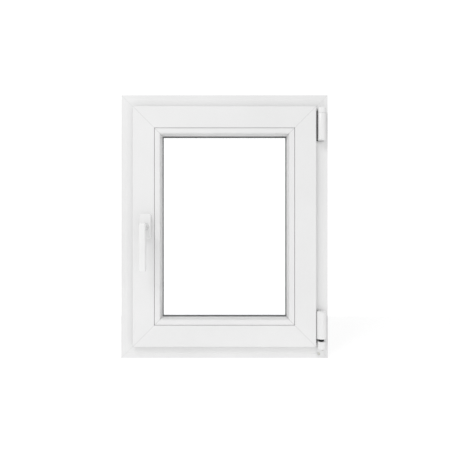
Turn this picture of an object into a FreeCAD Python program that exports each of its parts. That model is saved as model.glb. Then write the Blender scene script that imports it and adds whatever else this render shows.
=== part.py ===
import FreeCAD, Part
import math
import os
import Sketcher

# Inward opening tilt-and-turn casement window, one sash, hinged on the right seen from the room.
# Axes: +X to the right seen from the room, +Y outdoors, +Z up.
# Origin: centre of the underside of the outer frame, at the middle of the frame's depth.

SIZES = [
    # alias, value, what it is
    ("frame_width", 550, "outer frame, overall width"),
    ("frame_height", 700, "outer frame, overall height"),
    ("frame_depth", 70, "outer frame, from room face to outdoor face"),
    ("frame_face", 41, "width of the frame's room face"),
    ("frame_upstand", 25, "outdoor upstand above the frame's rebate floor"),
    ("frame_upstand_depth", 11, "thickness of that upstand"),
    ("front_chamber", 12.5, "frame face to the front of the steel's chamber"),
    ("band_width", 12, "recessed band along the frame's outer edge"),
    ("band_step", 1, "depth of the band"),
    ("band_slope", 2, "width of the slope beside the band"),
    ("profile_wall", 2.6, "outer walls of the extruded profiles"),
    ("profile_rib", 2, "ribs between the chambers"),
    ("steel_wall", 1.5, "sheet of the steel reinforcements"),
    ("steel_gap", 0.4, "clearance round a reinforcement"),
    ("steel_setback", 12, "reinforcement's end to the start of the mitre"),
    ("edge_round", 1.5, "rounding of the profiles' visible edges"),
    ("sash_round", 3, "rounding of the sash's outer room edge"),
    ("sash_cover", 8, "how far the sash laps over the frame's face"),
    ("air_gap", 12, "hardware gap between frame rebate and sash"),
    ("sash_proud", 15, "sash room face in front of the frame's face"),
    ("sash_depth", 70, "sash profile depth"),
    ("seal_gap", 4, "gap that the sash and frame gaskets close"),
    ("seal_clear", 0.3, "gasket nose to the face that it meets"),
    ("sash_face", 57, "sash room face, outer edge to bead joint"),
    ("sash_upstand", 16, "outdoor upstand that the glass is bedded on"),
    ("sash_upstand_depth", 20, "thickness of that upstand"),
    ("bead_width", 20, "glazing bead, joint to sight line"),
    ("bead_flat", 13, "flat part of the bead's face"),
    ("bead_foot", 1.3, "thickness of the bead's sight edge"),
    ("bead_wall", 1.6, "wall of the hollow bead"),
    ("bead_joint", 1, "open joint round the bead"),
    ("glass_edge_gap", 5, "glass edge to the glazing rebate floor"),
    ("block_length", 100, "glazing blocks, length"),
    ("pane_thickness", 4, "each glass pane"),
    ("pane_space", 16, "space between the panes"),
    ("outer_seal", 4, "bedding gasket outside the glass"),
    ("inner_seal", 3.2, "wedge gasket between bead and glass"),
    ("seal_show", 2.8, "gasket that shows beyond the bead or upstand"),
    ("spacer_width", 7, "spacer bar, seen square to the glass"),
    ("spacer_set", 5, "spacer bar in from the glass edge"),
    ("groove_seat", 16, "hardware groove, faceplate seat"),
    ("groove_slot", 12, "hardware groove, slot for the rods"),
    ("seat_depth", 2.4, "depth of the faceplate seat"),
    ("groove_depth", 11, "whole depth of the hardware groove"),
    ("groove_setback", 15, "groove centre behind the lip's back face"),
    ("slide_gap", 0.2, "clearance of the sliding hardware"),
    ("rod_width", 11, "drive rod, width"),
    ("rod_thickness", 2.4, "drive rod, thickness"),
    ("corner_leg", 50, "each leg of a corner drive"),
    ("corner_gap", 4, "free length between a corner drive and a rod at full travel"),
    ("pinion_teeth", 16, "teeth on the drive pinion"),
    ("tooth_module", 1.125, "module of pinion and rack"),
    ("tooth_slack", 0.6, "tooth thickness given up as backlash"),
    ("tooth_rise", 0.8, "tooth above the pitch line, in modules"),
    ("tooth_fall", 1.15, "tooth space below the pitch line, in modules"),
    ("flank_fall", 0.25, "tooth flank's spread below the pitch line, a share of the fall"),
    ("flank_rise", 0.45, "tooth flank's draw-in above the pitch line, a share of the rise"),
    ("rack_spare", 3, "rack teeth beyond the travel at each end"),
    ("hub_wall", 0.75, "pinion hub, wall at the spindle's corners"),
    ("case_length", 114, "gearbox case, length"),
    ("case_tail", 5.2, "gearbox case behind the pinion's pitch circle"),
    ("top_rod_length", 96, "drive rod in the top rail, length"),
    ("bottom_rod_length", 146, "drive rod in the bottom rail, length without its travel"),
    ("backset", 6, "pinion's pitch line behind the faceplate's face"),
    ("spindle_square", 7, "square spindle, side"),
    ("cam_radius", 5, "locking cam head, radius"),
    ("cam_stem", 3, "locking cam stem, radius"),
    ("cam_reach", 5, "cam head beyond the faceplate"),
    ("cam_setback", 35, "cam from the rod's end"),
    ("striker_length", 56, "striker plate, length"),
    ("striker_width", 22, "striker plate, width"),
    ("striker_screws", 40.8, "striker screws, centre to centre"),
    ("striker_base", 2, "striker plate, thickness"),
    ("striker_height", 6, "striker, height of its lips"),
    ("striker_channel", 11.6, "channel between the striker's lips"),
    ("hinge_inset", 1, "hinge cover's side clear of the sash's edge"),
    ("hinge_stand", 0.5, "hinge cover's round clear of the frame's face"),
    ("cover_radius", 12, "hinge cover, radius"),
    ("cover_side", 8.6, "upper hinge covers, hinge axis to the flat side by the sash"),
    ("cover_dome", 3, "hinge covers, rounding of the closed end"),
    ("knuckle_radius", 8.5, "hinge knuckle, radius"),
    ("cup_radius", 6.3, "swivelling cup of the lower hinge, radius"),
    ("cover_gap", 0.3, "clearance inside a hinge cover"),
    ("pin_radius", 3.5, "hinge pin, radius"),
    ("fit_gap", 0.05, "radial clearance of a running fit"),
    ("leaf_thickness", 3, "hinge leaf and stay arm, thickness"),
    ("leaf_clear", 0.5, "leaf to the frame's face"),
    ("pivot_height", 38, "tilt axis above the frame's underside"),
    ("pivot_drop", 10, "lower hinge base, below the tilt axis"),
    ("pivot_rise", 8, "lower hinge base, above the tilt axis"),
    ("base_foot", 6, "lower hinge base plate, above the frame's underside"),
    ("base_screw_side", 5, "lower hinge base screws, each side of the hinge axis"),
    ("base_screw_low", 12, "lower hinge base, lower screw above the frame's underside"),
    ("base_screw_high", 24, "lower hinge base, upper screw above the frame's underside"),
    ("collar_radius", 7, "collar on the lower hinge pin, radius"),
    ("collar_start", 11.6, "collar on the lower hinge pin, above the tilt axis"),
    ("skirt_start", 4, "lower hinge leaf's skirt, above the tilt axis"),
    ("skirt_clear", 1.5, "lower hinge leaf's skirt to the hinge base"),
    ("low_cover_start", 55, "lower hinge cover, bottom edge"),
    ("low_cover_length", 72.5, "lower hinge cover, length"),
    ("high_cover_drop", 53, "upper hinge's split line below the frame's top"),
    ("high_cover_length", 70, "upper hinge cover, length below its split line"),
    ("high_cap_length", 17, "upper hinge, cap above its split line"),
    ("arm_length", 265, "stay arm, hinge axis to slider pin along the window"),
    ("arm_width", 14, "stay arm, width"),
    ("slider_travel", 21.2, "slider pin's travel in the stay guide"),
    ("rosette_width", 30, "handle rosette, width"),
    ("rosette_height", 66, "handle rosette, height"),
    ("rosette_depth", 11, "handle rosette, depth"),
    ("rosette_wall", 2, "rosette cover, wall"),
    ("rosette_round", 4.5, "rosette cover, rounding of its corners"),
    ("rosette_plate", 4, "rosette base, thickness"),
    ("rosette_screws", 43, "rosette screws, centre to centre"),
    ("neck_radius", 9, "handle neck, radius"),
    ("handle_drop", 115, "lever, spindle axis to tip"),
    ("handle_width", 18, "lever, width"),
    ("handle_front", 56, "lever's front in front of the sash's face"),
    ("handle_grip", 16, "lever, thickness at the neck end"),
    ("handle_tip", 11, "lever, thickness at the tip"),
    ("handle_lean", 3, "lever's tip behind its front"),
    ("handle_round", 4, "lever, rounding of its ends"),
    ("handle_soft", 3, "lever, rounding of its long edges"),
    ("screw_radius", 2, "hardware screws, shank radius"),
    ("screw_head", 3.8, "hardware screws, head radius"),
    ("fixing_radius", 5.25, "frame fixing hole, radius"),
    ("fixing_spread", 400, "frame fixing holes, centre to centre"),
    ("fixing_depth", 30, "frame fixing holes behind the frame's room face"),
    ("drain_spread", 300, "drain caps, centre to centre"),
    ("drain_width", 33, "drain caps, width"),
    ("drain_low", 7.8, "drain caps, lower edge above the frame's underside"),
    ("drain_high", 22, "drain caps, upper edge above the frame's underside"),
    ("drain_slot", 22, "drain slots, width"),
    ("drain_slot_low", 10.4, "drain slots, lower edge above the frame's underside"),
    ("drain_slot_high", 15.6, "drain slots, upper edge above the frame's underside"),
]


class Size:
    """A length that carries its formula in the sheet together with its present value."""

    def __init__(self, formula, value):
        self.formula = formula
        self.value = value

    def __add__(self, other):
        other = as_size(other)
        return Size("(%s + %s)" % (self.formula, other.formula), self.value + other.value)

    def __sub__(self, other):
        other = as_size(other)
        return Size("(%s - %s)" % (self.formula, other.formula), self.value - other.value)

    def __mul__(self, other):
        other = as_size(other)
        return Size("(%s * %s)" % (self.formula, other.formula), self.value * other.value)

    def __truediv__(self, other):
        other = as_size(other)
        return Size("(%s / %s)" % (self.formula, other.formula), self.value / other.value)

    def __radd__(self, other):
        return as_size(other) + self

    def __rsub__(self, other):
        return as_size(other) - self

    def __rmul__(self, other):
        return as_size(other) * self

    def __neg__(self):
        return Size("(-%s)" % self.formula, -self.value)


def as_size(number):
    if isinstance(number, Size):
        return number
    return Size("(%r)" % number, number)


doc = FreeCAD.newDocument("casement_window")
sheet = doc.addObject("Spreadsheet::Sheet", "Sizes")
for row, (alias, number, note) in enumerate(SIZES, start=1):
    sheet.set("A%d" % row, note)
    sheet.set("B%d" % row, str(number))
    sheet.setAlias("B%d" % row, alias)
doc.recompute()


def size(alias):
    return Size("Sizes." + alias, float(sheet.get(alias)))


# ---------------------------------------------------------------- modelling helpers

nodes = []
counter = {"made": 0}


def keep(item, label):
    """Names a finished sub-part: its label is also the name of its file."""
    item.Label = label
    nodes.append(item)
    return item


def scrap_name(kind):
    counter["made"] += 1
    return "%s_%03d" % (kind, counter["made"])


def bind(item, prop, number):
    item.setExpression(prop, as_size(number).formula)


def new_body():
    return doc.addObject("PartDesign::Body", scrap_name("Body"))


def origin_plane(body, role):
    return [part for part in body.Origin.OriginFeatures if part.Role == role][0]


# Sketch axes of each plane: XY draws (x, y), XZ draws (x, z), YZ draws (y, z).
# The XZ plane looks towards -Y, so its offset runs against Y.
OFFSET_SIGN = {"XY": 1, "XZ": -1, "YZ": 1}


def sketch(body, plane, loops, level):
    """Closed loops on an origin plane moved to `level`. A loop is a list of (u, v) corners,
    or a circle (u, v, radius). Each number is bound to the sheet."""
    drawing = body.newObject("Sketcher::SketchObject", scrap_name("Sketch"))
    drawing.AttachmentSupport = [(origin_plane(body, plane + "_Plane"), "")]
    drawing.MapMode = "FlatFace"
    bind(drawing, "AttachmentOffset.Base.z", OFFSET_SIGN[plane] * as_size(level))
    for loop in loops:
        if isinstance(loop, tuple):
            draw_circle(drawing, *loop)
        else:
            draw_polygon(drawing, loop)
    return drawing


def pin_point(drawing, edge, end, u, v):
    """Ties one point of the sketch to the sheet by its distances from the origin."""
    for kind, place in (("DistanceX", as_size(u)), ("DistanceY", as_size(v))):
        rule = drawing.addConstraint(Sketcher.Constraint(kind, -1, 1, edge, end, place.value))
        drawing.setExpression("Constraints[%d]" % rule, place.formula)


def draw_circle(drawing, u, v, radius):
    u, v, radius = as_size(u), as_size(v), as_size(radius)
    centre = FreeCAD.Vector(u.value, v.value, 0)
    normal = FreeCAD.Vector(0, 0, 1)
    edge = drawing.addGeometry(Part.Circle(centre, normal, radius.value), False)
    rule = drawing.addConstraint(Sketcher.Constraint("Radius", edge, radius.value))
    drawing.setExpression("Constraints[%d]" % rule, radius.formula)
    pin_point(drawing, edge, 3, u, v)


def draw_polygon(drawing, corners):
    spots = [FreeCAD.Vector(as_size(u).value, as_size(v).value, 0) for u, v in corners]
    first = drawing.GeometryCount
    for index, spot in enumerate(spots):
        following = spots[(index + 1) % len(spots)]
        drawing.addGeometry(Part.LineSegment(spot, following), False)
    for index, (u, v) in enumerate(corners):
        following = first + (index + 1) % len(corners)
        drawing.addConstraint(Sketcher.Constraint("Coincident", first + index, 2, following, 1))
    for index, (u, v) in enumerate(corners):
        pin_point(drawing, first + index, 1, u, v)


def pad(body, plane, loops, low, high):
    """Adds material between `low` and `high` along the plane's normal axis."""
    low, high = as_size(low), as_size(high)
    start = high if plane == "XZ" else low
    feature = body.newObject("PartDesign::Pad", scrap_name("Pad"))
    feature.Profile = sketch(body, plane, loops, start)
    bind(feature, "Length", high - low)
    doc.recompute()
    return feature


def pocket(body, plane, loops, low, high):
    """Removes material between `low` and `high`; raises if nothing was cut."""
    low, high = as_size(low), as_size(high)
    before = body.Shape.Volume
    start = low if plane == "XZ" else high
    feature = body.newObject("PartDesign::Pocket", scrap_name("Pocket"))
    feature.Profile = sketch(body, plane, loops, start)
    bind(feature, "Length", high - low)
    doc.recompute()
    if not body.Shape.Volume < before:
        raise RuntimeError("a pocket in %s cuts nothing" % body.Label)
    return feature


def straight_edges(shape, plane, spots):
    """Names of the straight edges square to `plane` that pass through the (u, v) spots."""
    axes = {"XY": (0, 1), "XZ": (0, 2), "YZ": (1, 2)}[plane]
    found = []
    for index, edge in enumerate(shape.Edges, start=1):
        ends = [vertex.Point for vertex in edge.Vertexes]
        if len(ends) != 2:
            continue
        for u, v in spots:
            wanted = (as_size(u).value, as_size(v).value)
            if all(math.dist((end[axes[0]], end[axes[1]]), wanted) < 0.001 for end in ends):
                found.append("Edge%d" % index)
    if len(found) < len(spots):
        raise RuntimeError("an edge to round is missing")
    return found


def round_off(body, names, radius):
    """Rounds the named edges, or all edges of the named faces."""
    base = body.Tip
    feature = body.newObject("PartDesign::Fillet", scrap_name("Fillet"))
    feature.Base = (base, names)
    bind(feature, "Radius", radius)
    doc.recompute()
    return feature


def round_edges(body, plane, spots, radius):
    return round_off(body, straight_edges(body.Tip.Shape, plane, spots), radius)


def flat_faces(body, axis, level):
    """Names of the faces that lie flat at one level of an axis."""
    found = []
    for index, face in enumerate(body.Shape.Faces, start=1):
        box = face.BoundBox
        low, high = {"X": (box.XMin, box.XMax), "Y": (box.YMin, box.YMax)}[axis]
        if max(abs(low - level.value), abs(high - level.value)) < 0.001:
            found.append("Face%d" % index)
    return found


def block(x, y, z):
    """Rectangular block given by its (low, high) pairs."""
    item = doc.addObject("Part::Box", scrap_name("Block"))
    for axis, edge, (low, high) in zip("xyz", ("Length", "Width", "Height"), (x, y, z)):
        bind(item, "Placement.Base." + axis, low)
        bind(item, edge, as_size(high) - as_size(low))
    return item


TURN_FROM_Z = {
    "X": FreeCAD.Rotation(FreeCAD.Vector(0, 1, 0), 90),
    "Y": FreeCAD.Rotation(FreeCAD.Vector(1, 0, 0), -90),
    "Z": FreeCAD.Rotation(),
}


def bar(axis, u, v, span, radius):
    """Round bar along an axis, centred on the two other coordinates (u, v) in X, Y, Z order."""
    low, high = as_size(span[0]), as_size(span[1])
    item = doc.addObject("Part::Cylinder", scrap_name("Bar"))
    item.Placement = FreeCAD.Placement(FreeCAD.Vector(), TURN_FROM_Z[axis])
    places = {"X": (low, u, v), "Y": (u, low, v), "Z": (u, v, low)}[axis]
    for letter, place in zip("xyz", places):
        bind(item, "Placement.Base." + letter, place)
    bind(item, "Radius", radius)
    bind(item, "Height", high - low)
    return item


def fuse(*items):
    joined = doc.addObject("Part::MultiFuse", scrap_name("Fuse"))
    joined.Shapes = list(items)
    joined.Refine = True
    return joined


def cut(base, *tools):
    result = doc.addObject("Part::Cut", scrap_name("Cut"))
    result.Base = base
    result.Tool = tools[0] if len(tools) == 1 else fuse(*tools)
    return result


def group(*items):
    """Separate solids of one kind, kept as one sub-part."""
    bundle = doc.addObject("Part::Compound", scrap_name("Group"))
    bundle.Links = list(items)
    return bundle


def mid_span(middle, length):
    """(low, high) of a length laid evenly about its middle."""
    return (middle - length / 2, middle + length / 2)


# ---------------------------------------------------------------- where things are

wall = size("profile_wall")
rib = size("profile_rib")
seal_clear = size("seal_clear")
slide_gap = size("slide_gap")

frame_left = -size("frame_width") / 2
frame_right = size("frame_width") / 2
frame_bottom = as_size(0)
frame_top = size("frame_height")
room_face = -size("frame_depth") / 2
outdoor_face = size("frame_depth") / 2
frame_face = size("frame_face")
frame_high = frame_face + size("frame_upstand")
upstand_face = outdoor_face - size("frame_upstand_depth")

sash_inset = frame_face - size("sash_cover")
sash_left = frame_left + sash_inset
sash_right = frame_right - sash_inset
sash_bottom = frame_bottom + sash_inset
sash_top = frame_top - sash_inset
sash_room = room_face - size("sash_proud")
sash_back = sash_room + size("sash_depth")
lip_back = room_face - size("seal_gap")
lip = size("sash_cover") + size("air_gap")
sash_face = size("sash_face")
sash_high = sash_face + size("sash_upstand")
bead_high = sash_face + size("bead_width")
bed_face = sash_back - size("sash_upstand_depth")
groove_y = lip_back + size("groove_setback")

pane_outer = bed_face - size("outer_seal")
pane_inner = pane_outer - 2 * size("pane_thickness") - size("pane_space")
bead_back = pane_inner - size("inner_seal")

# The sash's four rebate faces, which carry the hardware.
screw_depth = wall + rib
side_left = sash_left + lip
side_right = sash_right - lip
side_bottom = sash_bottom + lip
side_top = sash_top - lip
# The frame's rebate floors, which carry the strikers.
floor_left = frame_left + frame_face
floor_right = frame_right - frame_face
floor_bottom = frame_bottom + frame_face
floor_top = frame_top - frame_face

pitch_radius = size("tooth_module") * size("pinion_teeth") / 2
pitch_line = side_left + size("backset")
handle_x = pitch_line + pitch_radius
handle_z = frame_top / 2
cover_radius = size("cover_radius")
hinge_x = sash_right + size("hinge_inset") + cover_radius
hinge_y = room_face - size("hinge_stand") - cover_radius

FRAME_RING = (frame_left, frame_right, frame_bottom, frame_top)
SASH_RING = (sash_left, sash_right, sash_bottom, sash_top)


# ---------------------------------------------------------------- mitred profiles

def section_spot(side, ring, inward, depth):
    """Sketch point of a profile's section, measured inward from its outer edge."""
    left, right, bottom, top = ring
    return {
        "left": (left + inward, depth),
        "right": (right - inward, depth),
        "bottom": (depth, bottom + inward),
        "top": (depth, top - inward),
    }[side]


def is_upright(side):
    return side in ("left", "right")


def mitre_corners(side, ring, reach):
    """The two triangles that leave a profile with 45 degree ends."""
    left, right, bottom, top = ring
    corners = {
        "left": ((left, bottom, 1, 1), (left, top, 1, -1)),
        "right": ((right, bottom, -1, 1), (right, top, -1, -1)),
        "bottom": ((left, bottom, 1, 1), (right, bottom, -1, 1)),
        "top": ((left, top, 1, -1), (right, top, -1, -1)),
    }[side]
    triangles = []
    for x, z, step_x, step_z in corners:
        start = (x - step_x, z - step_z)
        far = (x + step_x * reach, z + step_z * reach)
        knee = (far[0], start[1]) if is_upright(side) else (start[0], far[1])
        triangles.append([start, knee, far])
    return triangles


def profile(side, ring, outline, chambers, rounds, depth):
    """One hollow, mitred length of profile. `outline` and `chambers` are (inward, depth) loops."""
    left, right, bottom, top = ring
    body = new_body()
    plane = "XY" if is_upright(side) else "YZ"
    span = (bottom, top) if is_upright(side) else (left, right)
    reach = max((spot[0] for spot in outline), key=lambda number: as_size(number).value) + 1
    loops = [[section_spot(side, ring, *spot) for spot in loop] for loop in [outline] + chambers]
    pad(body, plane, loops, *span)
    for spots, radius in rounds:
        round_edges(body, plane, [section_spot(side, ring, *spot) for spot in spots], radius)
    pocket(body, "XZ", mitre_corners(side, ring, reach), depth[0] - 1, depth[1] + 1)
    return body


def chamber(inward, depth):
    """Rectangular hollow between two inward distances and two depths."""
    return [(inward[0], depth[0]), (inward[1], depth[0]),
            (inward[1], depth[1]), (inward[0], depth[1])]


band = size("band_width")
FRAME_OUTLINE = [
    (0, room_face + size("band_step")), (band, room_face + size("band_step")),
    (band + size("band_slope"), room_face), (frame_face, room_face),
    (frame_face, upstand_face), (frame_high, upstand_face),
    (frame_high, outdoor_face), (0, outdoor_face),
]
frame_chamber_front = room_face + size("front_chamber")
frame_chamber_back = upstand_face - size("frame_upstand_depth")
FRAME_STEEL_ROOM = ((wall, frame_face - wall), (frame_chamber_front, frame_chamber_back))
FRAME_CHAMBERS = [
    chamber((wall, frame_face - wall),
            (room_face + size("band_step") + wall, frame_chamber_front - rib)),
    chamber(*FRAME_STEEL_ROOM),
    chamber((wall, frame_face - wall), (frame_chamber_back + rib, outdoor_face - wall)),
    chamber((frame_face + wall, frame_high - wall), (upstand_face + wall, outdoor_face - wall)),
]
FRAME_ROUNDS = [
    ([(frame_face, room_face), (frame_high, upstand_face), (frame_high, outdoor_face)],
     size("edge_round")),
]

slot_half = size("groove_slot") / 2
seat_half = size("groove_seat") / 2
seat_floor = lip + size("seat_depth")
groove_floor = lip + size("groove_depth")
SASH_OUTLINE = [
    (0, sash_room), (sash_face, sash_room), (sash_face, bed_face), (sash_high, bed_face),
    (sash_high, sash_back), (lip, sash_back),
    (lip, groove_y + seat_half), (seat_floor, groove_y + seat_half),
    (seat_floor, groove_y + slot_half), (groove_floor, groove_y + slot_half),
    (groove_floor, groove_y - slot_half), (seat_floor, groove_y - slot_half),
    (seat_floor, groove_y - seat_half), (lip, groove_y - seat_half),
    (lip, lip_back), (0, lip_back),
]
SASH_STEEL_ROOM = ((groove_floor + wall, sash_face - wall), (lip_back + rib, bed_face - wall))
SASH_CHAMBERS = [
    chamber((wall, sash_face - wall), (sash_room + wall, lip_back - wall)),
    chamber(*SASH_STEEL_ROOM),
    chamber((lip + wall, groove_floor + wall - rib), (groove_y + seat_half + wall, sash_back - wall)),
    chamber((groove_floor + wall, sash_high - wall), (bed_face + wall, sash_back - wall)),
]
SASH_ROUNDS = [
    ([(0, sash_room)], size("sash_round")),
    ([(0, lip_back), (sash_high, bed_face), (sash_high, sash_back), (lip, sash_back)],
     size("edge_round")),
]

SIDES = ("left", "right", "bottom", "top")
FRAME_NAMES = {"left": "frame_jamb_left", "right": "frame_jamb_right",
               "bottom": "frame_sill", "top": "frame_head"}
SASH_NAMES = {"left": "sash_stile_left", "right": "sash_stile_right",
              "bottom": "sash_rail_bottom", "top": "sash_rail_top"}

frame_profiles = {}
sash_profiles = {}
for side in SIDES:
    frame_profiles[side] = profile(side, FRAME_RING, FRAME_OUTLINE, FRAME_CHAMBERS, FRAME_ROUNDS,
                                   (room_face, outdoor_face))
    sash_profiles[side] = profile(side, SASH_RING, SASH_OUTLINE, SASH_CHAMBERS, SASH_ROUNDS,
                                  (sash_room, sash_back))
    keep(frame_profiles[side], FRAME_NAMES[side])
    keep(sash_profiles[side], SASH_NAMES[side])


# ---------------------------------------------------------------- steel reinforcements

def steel_tube(side, ring, room):
    """Square-cut steel tube in a profile's middle chamber."""
    gap = size("steel_gap")
    inward = (room[0][0] + gap, room[0][1] - gap)
    depth = (room[1][0] + gap, room[1][1] - gap)
    setback = room[0][1] + size("steel_setback")
    left, right, bottom, top = ring
    low, high = (bottom, top) if is_upright(side) else (left, right)
    shells = []
    for inset, over in ((as_size(0), as_size(0)), (size("steel_wall"), as_size(1))):
        across = {
            "left": (left + inward[0] + inset, left + inward[1] - inset),
            "right": (right - inward[1] + inset, right - inward[0] - inset),
            "bottom": (bottom + inward[0] + inset, bottom + inward[1] - inset),
            "top": (top - inward[1] + inset, top - inward[0] - inset),
        }[side]
        along = (low + setback - over, high - setback + over)
        deep = (depth[0] + inset, depth[1] - inset)
        if is_upright(side):
            shells.append(block(across, deep, along))
        else:
            shells.append(block(along, deep, across))
    return cut(*shells)


# Frame fixing holes: one line of two in each jamb, through profile and steel.
fixing_y = room_face + size("fixing_depth")
fixing_levels = mid_span(frame_top / 2, size("fixing_spread"))
jamb_spans = {"left": (frame_left - 1, frame_left + frame_high),
              "right": (frame_right - frame_high, frame_right + 1)}


def fixing_drills(side):
    return [bar("X", fixing_y, level, jamb_spans[side], size("fixing_radius"))
            for level in fixing_levels]


for side in ("left", "right"):
    circles = [(fixing_y, level, size("fixing_radius")) for level in fixing_levels]
    pocket(frame_profiles[side], "YZ", circles, *jamb_spans[side])

frame_steels = []
for side in SIDES:
    tube = steel_tube(side, FRAME_RING, FRAME_STEEL_ROOM)
    frame_steels.append(cut(tube, *fixing_drills(side)) if is_upright(side) else tube)
frame_steel_set = group(*frame_steels)

# The gearbox sits in a pocket routed through the handle stile and its steel.
case_gap = size("steel_gap")
case_depth_y = mid_span(groove_y, size("groove_slot") + wall)
case_back = handle_x + pitch_radius + size("case_tail")
case_span = mid_span(handle_z, size("case_length"))
rout_x = (side_left + size("seat_depth"), case_back + case_gap)
rout_y = (case_depth_y[0] - case_gap, case_depth_y[1] + case_gap)
rout_z = (case_span[0] - case_gap, case_span[1] + case_gap)
rout_outline = [(rout_x[0], rout_z[0]), (rout_x[1], rout_z[0]),
                (rout_x[1], rout_z[1]), (rout_x[0], rout_z[1])]
pocket(sash_profiles["left"], "XZ", [rout_outline], *rout_y)

sash_steels = {side: steel_tube(side, SASH_RING, SASH_STEEL_ROOM) for side in SIDES}
sash_steels["left"] = cut(sash_steels["left"], block(rout_x, (lip_back, rout_y[1]), rout_z))
keep(group(*[sash_steels[side] for side in SIDES]), "sash_reinforcements")


# ---------------------------------------------------------------- glazing

def ring_body(ring, inset, width, depth):
    """Flat rectangular ring, `inset` inside the ring's outer rectangle and `width` wide."""
    left, right, bottom, top = ring
    loops = []
    for step in (inset, inset + width):
        loops.append([(left + step, bottom + step), (right - step, bottom + step),
                      (right - step, top - step), (left + step, top - step)])
    body = new_body()
    pad(body, "XZ", loops, *depth)
    return body


def pane(depth):
    left, right, bottom, top = SASH_RING
    step = sash_face + size("glass_edge_gap")
    body = new_body()
    outline = [(left + step, bottom + step), (right - step, bottom + step),
               (right - step, top - step), (left + step, top - step)]
    pad(body, "XZ", [outline], *depth)
    return body


space = (pane_inner + size("pane_thickness"), pane_outer - size("pane_thickness"))
keep(pane((pane_inner, space[0])), "glass_inner")
keep(pane((space[1], pane_outer)), "glass_outer")
glass_inset = sash_face + size("glass_edge_gap")
keep(ring_body(SASH_RING, glass_inset + size("spacer_set"), size("spacer_width"), space),
     "spacer_bar")
keep(ring_body(SASH_RING, glass_inset, size("spacer_set"), space), "edge_sealant")

seal_start = glass_inset + size("bead_foot")
seal_show = size("seal_show")
keep(ring_body(SASH_RING, seal_start, bead_high + seal_show - seal_start, (bead_back, pane_inner)),
     "glazing_gasket_inner")
keep(ring_body(SASH_RING, seal_start, sash_high + seal_show - seal_start, (pane_outer, bed_face)),
     "glazing_gasket_outer")

bead_start = sash_face + size("bead_joint")
bead_wall = size("bead_wall")
bead_front = sash_room + size("bead_joint")
bead_step = bead_front + size("band_step")
bead_flat_end = sash_face + size("bead_flat")
bead_nose = bead_back - size("bead_foot")
BEAD_OUTLINE = [
    (bead_start, bead_front), (bead_flat_end, bead_front),
    (bead_flat_end + size("band_step"), bead_step), (bead_flat_end + size("band_slope"), bead_step),
    (bead_high, bead_nose), (bead_high, bead_back), (bead_start, bead_back),
]
BEAD_CHAMBER = [
    (bead_start + bead_wall, bead_front + bead_wall),
    (bead_flat_end - bead_wall, bead_front + bead_wall),
    (bead_flat_end + size("band_slope") - bead_wall, bead_step + bead_wall),
    (bead_high - 2 * bead_wall, bead_back - bead_wall),
    (bead_start + bead_wall, bead_back - bead_wall),
]
for side in SIDES:
    bead = profile(side, SASH_RING, BEAD_OUTLINE, [BEAD_CHAMBER], [], (bead_front, bead_back))
    keep(bead, "glazing_bead_" + side)

# Blocks that carry the glass: at the sill corners and, diagonally, beside the hinges.
block_gap = size("glass_edge_gap") - 2 * slide_gap
block_length = size("block_length")
block_in = sash_face + slide_gap
glass_low = sash_bottom + block_in
glass_high = sash_top - block_in
block_y = (pane_inner, pane_outer)
glazing_blocks = [
    block((sash_left + glass_inset + wall, sash_left + glass_inset + block_length), block_y,
          (glass_low, glass_low + block_gap)),
    block((sash_right - glass_inset - block_length, sash_right - glass_inset - wall), block_y,
          (glass_low, glass_low + block_gap)),
    block((sash_left + block_in, sash_left + block_in + block_gap), block_y,
          (sash_top - glass_inset - block_length, sash_top - glass_inset - wall)),
    block((sash_right - block_in - block_gap, sash_right - block_in), block_y,
          (sash_bottom + glass_inset + wall, sash_bottom + glass_inset + block_length)),
]
keep(group(*glazing_blocks), "glazing_blocks")


# ---------------------------------------------------------------- gearbox, rods, cams, strikers

plate_x = (side_left, side_left + size("seat_depth"))
rod_back = side_left + size("seat_depth") + slide_gap
rod_x = (rod_back, rod_back + size("rod_thickness"))
module = size("tooth_module")
tooth_pitch = module * math.pi
travel = pitch_radius * math.pi
addendum = module * size("tooth_rise")
dedendum = module * size("tooth_fall")
hub_radius = size("spindle_square") / 2 * math.sqrt(2) + size("hub_wall")
plate_y = mid_span(groove_y, size("groove_seat") - slide_gap)
rod_y = mid_span(groove_y, size("rod_width"))
pinion_y = mid_span(groove_y, size("rod_width") - 2 * rib)
tooth_quarter = (tooth_pitch - size("tooth_slack")) / 4
root_half = tooth_quarter + dedendum * size("flank_fall")
tip_half = tooth_quarter - addendum * size("flank_rise")


def gear_case():
    """Cast case, open towards the rod, with a bearing hole for the pinion in each cheek."""
    cheek = (size("groove_slot") + wall - size("rod_width")) / 2
    shell = block((pitch_line + size("rod_thickness"), case_back), case_depth_y, case_span)
    hollow = block((pitch_line, case_back - cheek),
                   (case_depth_y[0] + cheek, case_depth_y[1] - cheek),
                   (case_span[0] + cheek, case_span[1] - cheek))
    bearing = bar("Y", handle_x, handle_z, (case_depth_y[0] - 1, case_depth_y[1] + 1),
                  hub_radius + size("fit_gap"))
    screws = [bar("Y", handle_x, level, (case_depth_y[0] - 1, groove_y), size("screw_radius"))
              for level in mid_span(handle_z, size("rosette_screws"))]
    return cut(shell, hollow, bearing, *screws)


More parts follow.
